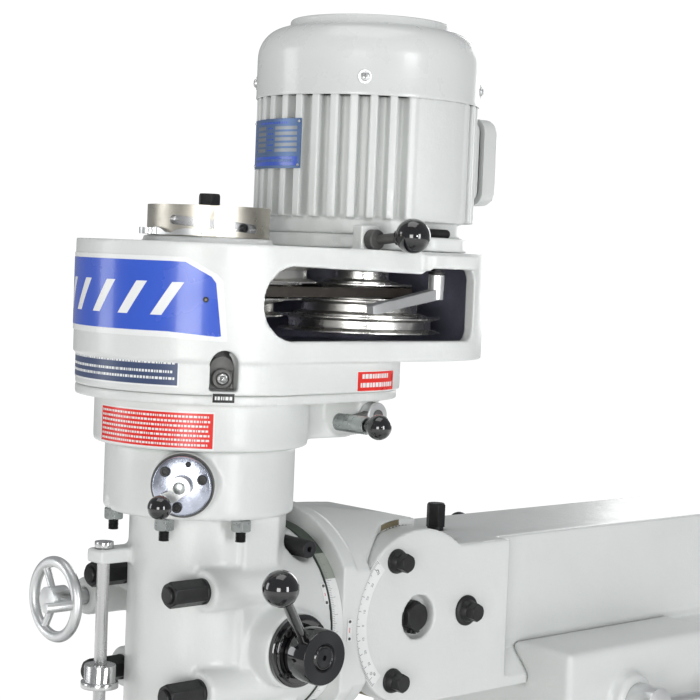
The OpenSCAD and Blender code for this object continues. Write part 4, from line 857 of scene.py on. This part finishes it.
def power_feed():
    turn = -46.5
    face = AT_HEAD @ Rz(turn) @ facing((0, 0, -215), X_AXIS)
    p = Piece("feed_cover_plate", "head", "blue_steel", "black_oxide", "bare_iron")
    p.at = face
    p.lathe([(29.2, 102), (29.4, 106.4), (28.6, 107.2), (27.8, 107), (27.4, 106.4)], 2, 96)
    p.lathe([(27.2, 105), (27.2, 110.4), (26.4, 111.6), (25.6, 112), (7.1, 112)], 0, 96)
    for a in (20, 140, 260):
        p.at = face @ Rz(a) @ T(20, 0, 112)
        socket_screw(p, 4.6, 3.2, 1, 1)
    p.at = face @ Rz(75) @ T(21, 0, 112)
    p.lathe([(2.6, 0), (2.6, 1.2), (1.6, 1.6)], 1, 24)
    p.done(("feed_cover",), 0.3)
    c = Piece("feed_crank_hub", "feed_crank", "cast_alloy", "black_gloss", "zinc")
    c.at = face
    lobe = [(10.5 * cos(a), 10.5 * sin(a)) for a in np.linspace(-0.6 * pi, 0.6 * pi, 20)]
    lobe = [(-y, x) for x, y in lobe] + [(-17, -6), (-19, -11), (-16, -16), (-9, -17)]
    c.prism(lobe, 112.6, 127)
    c.lathe([(7, 92), (7, 113)], 2, 40)
    c.lathe([(5.6, 126.5), (5.6, 128), (4.8, 128.4)], 2, 48)
    c.tube([(-12, -14, 120), (-12, -14, 146)], 3.6, 2)
    c.knob((-12, -14, 156), Z_AXIS, 11, 0.5, 1)
    c.done(("feed_crank",), 0.8)


def quill_controls():
    p = Piece("pinion_cap_black", "head", "black_gloss", "black_oxide", "bright_steel")
    p.at = AT_HEAD @ facing((100.05, *FEED_AXIS), X_AXIS)
    p.lathe([(35, 0), (35, 4.6), (34, 5.6), (31.5, 6), (31.2, 9.4), (30.4, 10), (12, 10)], 0, 128)
    for a in (45, 135, 225, 315):
        p.at = AT_HEAD @ facing((100.05, *FEED_AXIS), X_AXIS) @ Rz(a) @ T(28.5, 0, 8)
        socket_screw(p, 3.6, 3.4, 1, 1)
    p.done(("pinion_cap",), 0.2)
    q = Piece("quill_lever_hub", "quill_lever", "black_satin", "black_gloss", "bright_steel")
    q.at = AT_HEAD @ facing((0, *FEED_AXIS), X_AXIS)
    q.lathe([(9, -50), (9, 111)], 2, 48)
    q.lathe([(11.9, -13), (11.9, 13)], 2, 48)
    q.lathe([(24, 110.6), (25.0, 111.2), (25.0, 116), (26.5, 116.6), (26.5, 138.2), (25.6, 139.6),
             (13.8, 139.6), (13, 138.6), (12.6, 137.6), (11.6, 138.4), (11, 139.2), (10.2, 139.4),
             (10, 138.8), (9.4, 138.8), (9, 139.6), (2.6, 139.8), (2.2, 139), (2.0, 136)], 0, 128,
            bands=[1] * 5 + [0] * 3 + [1] * 5 + [0] * 4)
    q.at = AT_HEAD
    a, b = Vector((125, 32, -362)), Vector((164, -33, -299))
    q.tube([a, a + (b - a) * 0.2, b], [6.4, 5.4, 5.0], 1)
    q.knob(b, b - a, 17, 0.4, 1)
    q.done(("quill_lever",), 0.3)
    w = Piece("tilt_worm_black", "tilt_worm", "black_oxide", "black_satin", "black_rubber_and_recess_shade")
    w.at = AT_HEAD @ facing((0, 80, -286), X_AXIS)
    # The hole in the worm's end takes the blackest finish: painted shade in the hole.
    w.lathe([(8.4, -50), (9, -49), (9, -22), (13.4, -22), (14, -21.4), (14, 21.4), (13.4, 22), (9, 22),
             (9, 73.4), (8.6, 74.4), (7.8, 75), (3.0, 75), (2.6, 74.4), (2.4, 66)], 0, 64,
            bands=[0] * 10 + [1] + [2] * 4)
    w.done(("tilt_worm",), 0.3)


def bolts():
    p = Piece("tilt_bolt_nuts", "head", "black_oxide")
    for x in (-62, 62):
        for z in (-47.5, 47.5):
            p.at = AT_HEAD @ facing((x, -40.05, z - AXIS_DROP), (0, -1, 0))
            p.lathe([(12.2, -1), (12.4, 0.4), (12.4, 2), (11.6, 3)], 0, 48)
            p.hexagon(22, 1, 40, (1.0, 2.2))
            p.lathe([(8, -158), (8, 42), (7, 43)], 0, 32)
            p.at = AT_HEAD @ facing((x, 93.7 + 22, z - AXIS_DROP), Y_AXIS)
            p.lathe([(9.4, 0), (9.4, 6)], 0, 32)
    p.done(("tilt_bolts",), 0.3)
    q = Piece("head_hang_nuts", "head", "zinc", "black_oxide")
    for x in (-1, 1):
        for a, b in ((80, -12), (40, -71)):
            q.at = AT_HEAD @ T(x * a, b, -261.85)
            q.hexagon(17, 1, 12, (1.2, 1.2))
            thread(q, 5, -9, 3, 1.25, 1)
        q.at = AT_HEAD @ T(x * 110, PULLEY_GAP, 0)
        q.lathe([(6, -12.2), (6, 20), (5, 21)], 1, 32)
    q.done(("head_bolts",), 0.2)
    f = Piece("nod_bolts_black", "ram", "black_oxide", "plate_white")
    for s in (-1, 1):
        for a in (0, 120, 240):
            y, z = 70 * cos(radians(a)), 70 * sin(radians(a))
            f.at = AT_NOD @ facing((s * EAR_FACE, y, z), (s, 0, 0))
            wide = 16 if a == 0 else 12.5
            f.lathe([(6, -30), (6, 0), (wide, 0), (wide, 1.8), (wide - 0.8, 2.6), (12, 3.2), (10, 8), (9, 9)],
                    0, 64)
            f.hexagon(17, 5, 18, (0.4, 1.6))
        pin = AT_NOD @ facing((s * 75.5, 0, 0), (s, 0, 0))
        f.at = pin
        f.lathe([(15, -60), (15, 0), (16, 0), (16, 6), (15.2, 7)], 0, 64)
        f.hexagon(28, 5, 13, (0, 3.0))
        for k in (-1, 0, 1):
            f.at = pin @ Rz(k * 18 + (-90 if s > 0 else 90))
            f.box((14, -1.4, 3), (18, 1.4, 9))
    f.done(("nod_fasteners",), 0.25)
    w = Piece("nod_worm_hexagon", "nod_worm", "black_oxide")
    w.at = AT_NOD @ T(0, 110.7, 0)
    w.lathe([(18.5, -45), (19, -44), (19, 39), (18.5, 40), (9, 40.5), (9, 73), (10.2, 73.2), (10.2, 74)],
            0, 48)
    w.hexagon(18, 73, 99, (0.8, 2.2))
    w.done(("nod_worm",), 0.3)


def scales():
    p = Piece("nod_scale_plate", "ram", "plate_white", "mark_grey", "bright_steel", "plate_red")
    p.at = AT_NOD @ facing((EAR_FACE, 0, 0), X_AXIS)
    to_face = facing((EAR_FACE, 0, 0), X_AXIS).inverted()

    def flat(r, deg, z):
        """A point on the ear: radius, angle from +Y towards +Z, and height above its face."""
        a = radians(deg)
        return tuple(to_face @ Vector((EAR_FACE + z, r * cos(a), r * sin(a))))
    arc = np.linspace(134, 226, 70)
    p.rings([[flat(74, a, 0), flat(90.2, a, 0), flat(90.2, a, 0.8), flat(74, a, 0.8)] for a in arc], 0)
    for d in range(-45, 46):
        a = 180 + d
        depth = 6.5 if d % 10 == 0 else 4.8 if d % 5 == 0 else 3.0
        w = 0.16
        p.rings([[flat(r, a - w, 0.78), flat(r, a + w, 0.78), flat(r, a + w, 0.9), flat(r, a - w, 0.9)]
                 for r in (89.6 - depth, 89.6)], 1)
    for d in range(-40, 41, 10):
        v, f = numeral(str(abs(d)), 4.2)
        a = radians(180 + d)
        spot = AT_NOD @ Matrix.Translation((89.9, 79 * cos(a), 79 * sin(a)))
        m = Matrix(((0, 0, 1), (cos(a + pi / 2) * -1, cos(a) * -1, 0),
                    (sin(a + pi / 2) * -1, sin(a) * -1, 0))).to_4x4()
        p.at = spot @ m
        p.put(v, f, 1)
    for deg in (139.5, 217):
        a = radians(deg)
        p.at = AT_NOD @ facing((89.85, 82 * cos(a), 82 * sin(a)), X_AXIS)
        rivet(p, 1.6, 2)
    p.done(("nod_scale",), 0.05)

    t = Piece("tilt_scale_ring", "adapter", "ring_dark", "plate_white", "mark_grey", "ring_grey")
    t.at = AT_HEAD @ facing((0, 94, -AXIS_DROP), Y_AXIS)
    r = RING_R
    t.lathe([(90, 0), (96.6, 0), (r, 0.4), (r, 13.2), (96.4, 13.7), (90, 13.7)], 0, 200, closed=True)
    t.at = AT_TILT
    for start, bands in ((-50, ((-50, 31, 1), (31, 48, 3))), (149, ((149, 230, 1),))):
        for a0, a1, mat in bands:
            s0, s1 = radians(a0) * r, radians(a1) * r
            t.on_cylinder(r + 0.02, s0, s1, [(s0, -107.6), (s1, -107.6)], [(s0, -94.5), (s1, -94.5)],
                          0.12, mat)
        for d in range(start, start + 98):
            s = radians(d) * r
            deep = 7 if d % 10 == 0 else 5 if d % 5 == 0 else 3.2
            t.on_cylinder(r + 0.14, s - 0.16, s + 0.16, [(s - 0.2, -94.6 - deep), (s + 0.2, -94.6 - deep)],
                          [(s - 0.2, -94.6), (s + 0.2, -94.6)], 0.06, 2, 1)
    t.done(("tilt_scale",), 0.1)
    i = Piece("index_plates", "adapter", "plate_white", "plate_red", "bare_iron")
    i.at = AT_HEAD @ Matrix(((0, 0, 1, 96.1), (1, 0, 0, 117), (0, 1, 0, -365.5), (0, 0, 0, 1)))
    i.prism(round_rect(6, 22, 1), 0, 0.7, 0)
    i.box((-0.4, -2.5, 0.7), (0.4, 2.5, 0.85), 1)
    base = i.at.copy()
    for y in (-8.5, 8.5):
        i.at = base @ T(0, y, 0.7)
        rivet(i, 1.5, 2)
    i.done(bevel=0.1)
    j = Piece("tilt_index_plate", "head", "plate_white", "plate_red", "bare_iron")
    j.at = AT_TILT
    s0, s1 = radians(16) * r, radians(28.5) * r
    j.on_cylinder(96.85, s0, s1, [(s0, -91.4), (s1, -91.4)], [(s0, -86), (s1, -86)], 0.6, 0)
    m = (s0 + s1) / 2
    j.on_cylinder(97.4, m - 1.4, m + 1.4, [(s0, -89.1), (s1, -89.1)], [(s0, -88.3), (s1, -88.3)], 0.15, 1, 2)
    base = j.at.copy()
    for s in (s0 + 2.4, s1 - 2.4):
        j.at = base @ Rz(degrees(s / r)) @ facing((97.4, 0, -88.7), X_AXIS)
        rivet(j, 1.5, 2)
    j.done(bevel=0.1)


def nod_gear():
    p = Piece("nod_gear_teeth", "adapter", "gear_bronze")
    p.at = AT_NOD @ facing((-57.4, 0, 0), X_AXIS)
    n = 120 * 4
    radii = [90.4 if i % 4 in (1, 2) else 89.0 for i in range(n)]
    turns = [i * 2 * pi / n for i in range(n)]
    p.prism([(q * cos(a), q * sin(a)) for q, a in zip(radii, turns)], 0, 114.8)
    p.done(("nod_gear",), 0.0, 20)
    # A thin bronze arc beside each ear of the ram. The left ear's frame mirrors it to behind the pivot,
    # which is a known fault
    e = Piece("nod_gear_rim", "adapter", "gear_bronze")
    angles = [radians(92 + 58 * k / 240) for k in range(241)]
    radii = [96.6 if k % 4 in (1, 2) else 95.4 for k in range(241)]
    outer = [(q * cos(a), q * sin(a)) for q, a in zip(radii, angles)]
    inner = [(90.6 * cos(a), 90.6 * sin(a)) for a in angles]
    for s in (-1, 1):
        e.at = AT_NOD @ facing((s * 57.2, 0, 0), (s, 0, 0))
        e.prism(outer + inner[::-1], 0, 0.6)
    e.done((), 0.0, 20)


def small_machined():
    for finish, nodes in (
            ("bright_steel", {"stop_screw": 0.4, "stop_nut": 0.5, "quill": 0.8, "spindle": 0.8,
                              "knee_screw": 0.6}),
            ("bare_iron", {"bull_gear": 0, "motor_rotor": 0.5, "elevating_nut": 1}),
            ("black_rubber_and_recess_shade", {"cooling_fan": 0.4}),
            ("cast_alloy", {"fine_feed_wheel": 0.6, "ram_crank": 0.8, "knee_crank": 1, "cross_screw": 0.8,
                            "table_screw": 0.8}),
            ("black_satin", {"quill_lock": 0.5, "ram_lock_front": 0.8, "ram_lock_rear": 0.8, "knee_lock": 0.8,
                             "saddle_lock": 0.8, "table_lock": 0.8}),
            ("black_oxide", {"turret_bolts": 0.8}),
            ("ground_iron", {"table": 0.8}),
            ("paint_smooth", {"electrical_cabinet": 2})):
        for node, width in nodes.items():
            machined(node, finish, width)


def lower_castings():
    cast("base", 5, 3)
    cast("column", 5, 4)
    cast("turret", 3.5, 4)
    cast("knee", 3.5, 4)
    cast("saddle", 3, 3)


def stage():
    mesh = bpy.data.meshes.new("floor")
    n, r = 96, 9.0
    mesh.from_pydata([(r * cos(2 * pi * k / n), r * sin(2 * pi * k / n), -0.001)
                      for k in range(n)], [], [list(range(n))])
    floor = bpy.data.objects.new("floor", mesh)
    bpy.context.collection.objects.link(floor)
    pale = finish_of("floor_pale", (0.84, 0.84, 0.835), 0.6, tone=0.01, tone_scale=2, grain=((30, 0.0005),))
    t = pale.node_tree
    length = add(t, "VectorMath", operation="LENGTH")
    t.links.new(add(t, "TexCoord").outputs["Object"], length.inputs[0])
    glow = add(t, "Emission", Strength=1.05)
    both = add(t, "MixShader")
    t.links.new(spread(t, length.outputs["Value"], 0, 1, 1.7, 3.4), both.inputs[0])
    t.links.new(t.nodes["Principled BSDF"].outputs[0], both.inputs[1])
    t.links.new(glow.outputs[0], both.inputs[2])
    t.links.new(both.outputs[0], t.nodes["Material Output"].inputs[0])
    mesh.materials.append(pale)
    dome = bpy.data.meshes.new("backdrop")
    b = bmesh.new()
    bmesh.ops.create_uvsphere(b, u_segments=48, v_segments=24, radius=45)
    b.to_mesh(dome)
    b.free()
    sky = bpy.data.objects.new("backdrop", dome)
    bpy.context.collection.objects.link(sky)
    m, t, shader = new_material("backdrop_white")
    shader.inputs["Base Color"].default_value = (0, 0, 0, 1)
    shader.inputs["Emission Color"].default_value = (1, 1, 1, 1)
    shader.inputs["Emission Strength"].default_value = 1.05
    dome.materials.append(m)
    for flag in ("visible_diffuse", "visible_glossy", "visible_transmission", "visible_volume_scatter",
                 "visible_shadow"):
        setattr(sky, flag, False)
    world = bpy.data.worlds.new("world")
    bpy.context.scene.world = world
    world.use_nodes = True
    world.node_tree.nodes["Background"].inputs[0].default_value = (0.95, 0.97, 1.0, 1)
    world.node_tree.nodes["Background"].inputs[1].default_value = 0.30
    bpy.context.scene.view_settings.view_transform = "Standard"
    area_light("key", (2.5, -3.5, 1.75), (0.0, -0.1, 1.6), (1.5, 1.5), 52, (1, 0.995, 0.985))
    area_light("side", (3.9, -0.2, 1.9), (0.0, 0.0, 1.5), (0.9, 1.8), 50, (0.97, 0.985, 1.0))
    area_light("left", (-2.6, -3.2, 2.2), (0.0, -0.2, 1.5), (1.2, 2.0), 26, (0.97, 0.985, 1.0))
    area_light("top", (0.2, -0.4, 4.6), (0.0, 0.0, 1.0), (2.2, 2.2), 24)
    area_light("back", (-1.6, 3.8, 2.6), (0.0, 0.2, 1.3), (2.0, 2.0), 34)
    area_light("window", (1.5, -0.62, 1.93), (0.0, -0.17, 1.85), (0.36, 0.12), 0.05, (1, 1, 1), 12)


camera()
stage()
head_castings()
cam_ring()
drawbar()
pulleys()
motor()
tension_and_lock()
range_lever()
grease_fitting()
head_plates()
power_feed()
quill_controls()
bolts()
scales()
nod_gear()
small_machined()
lower_castings()
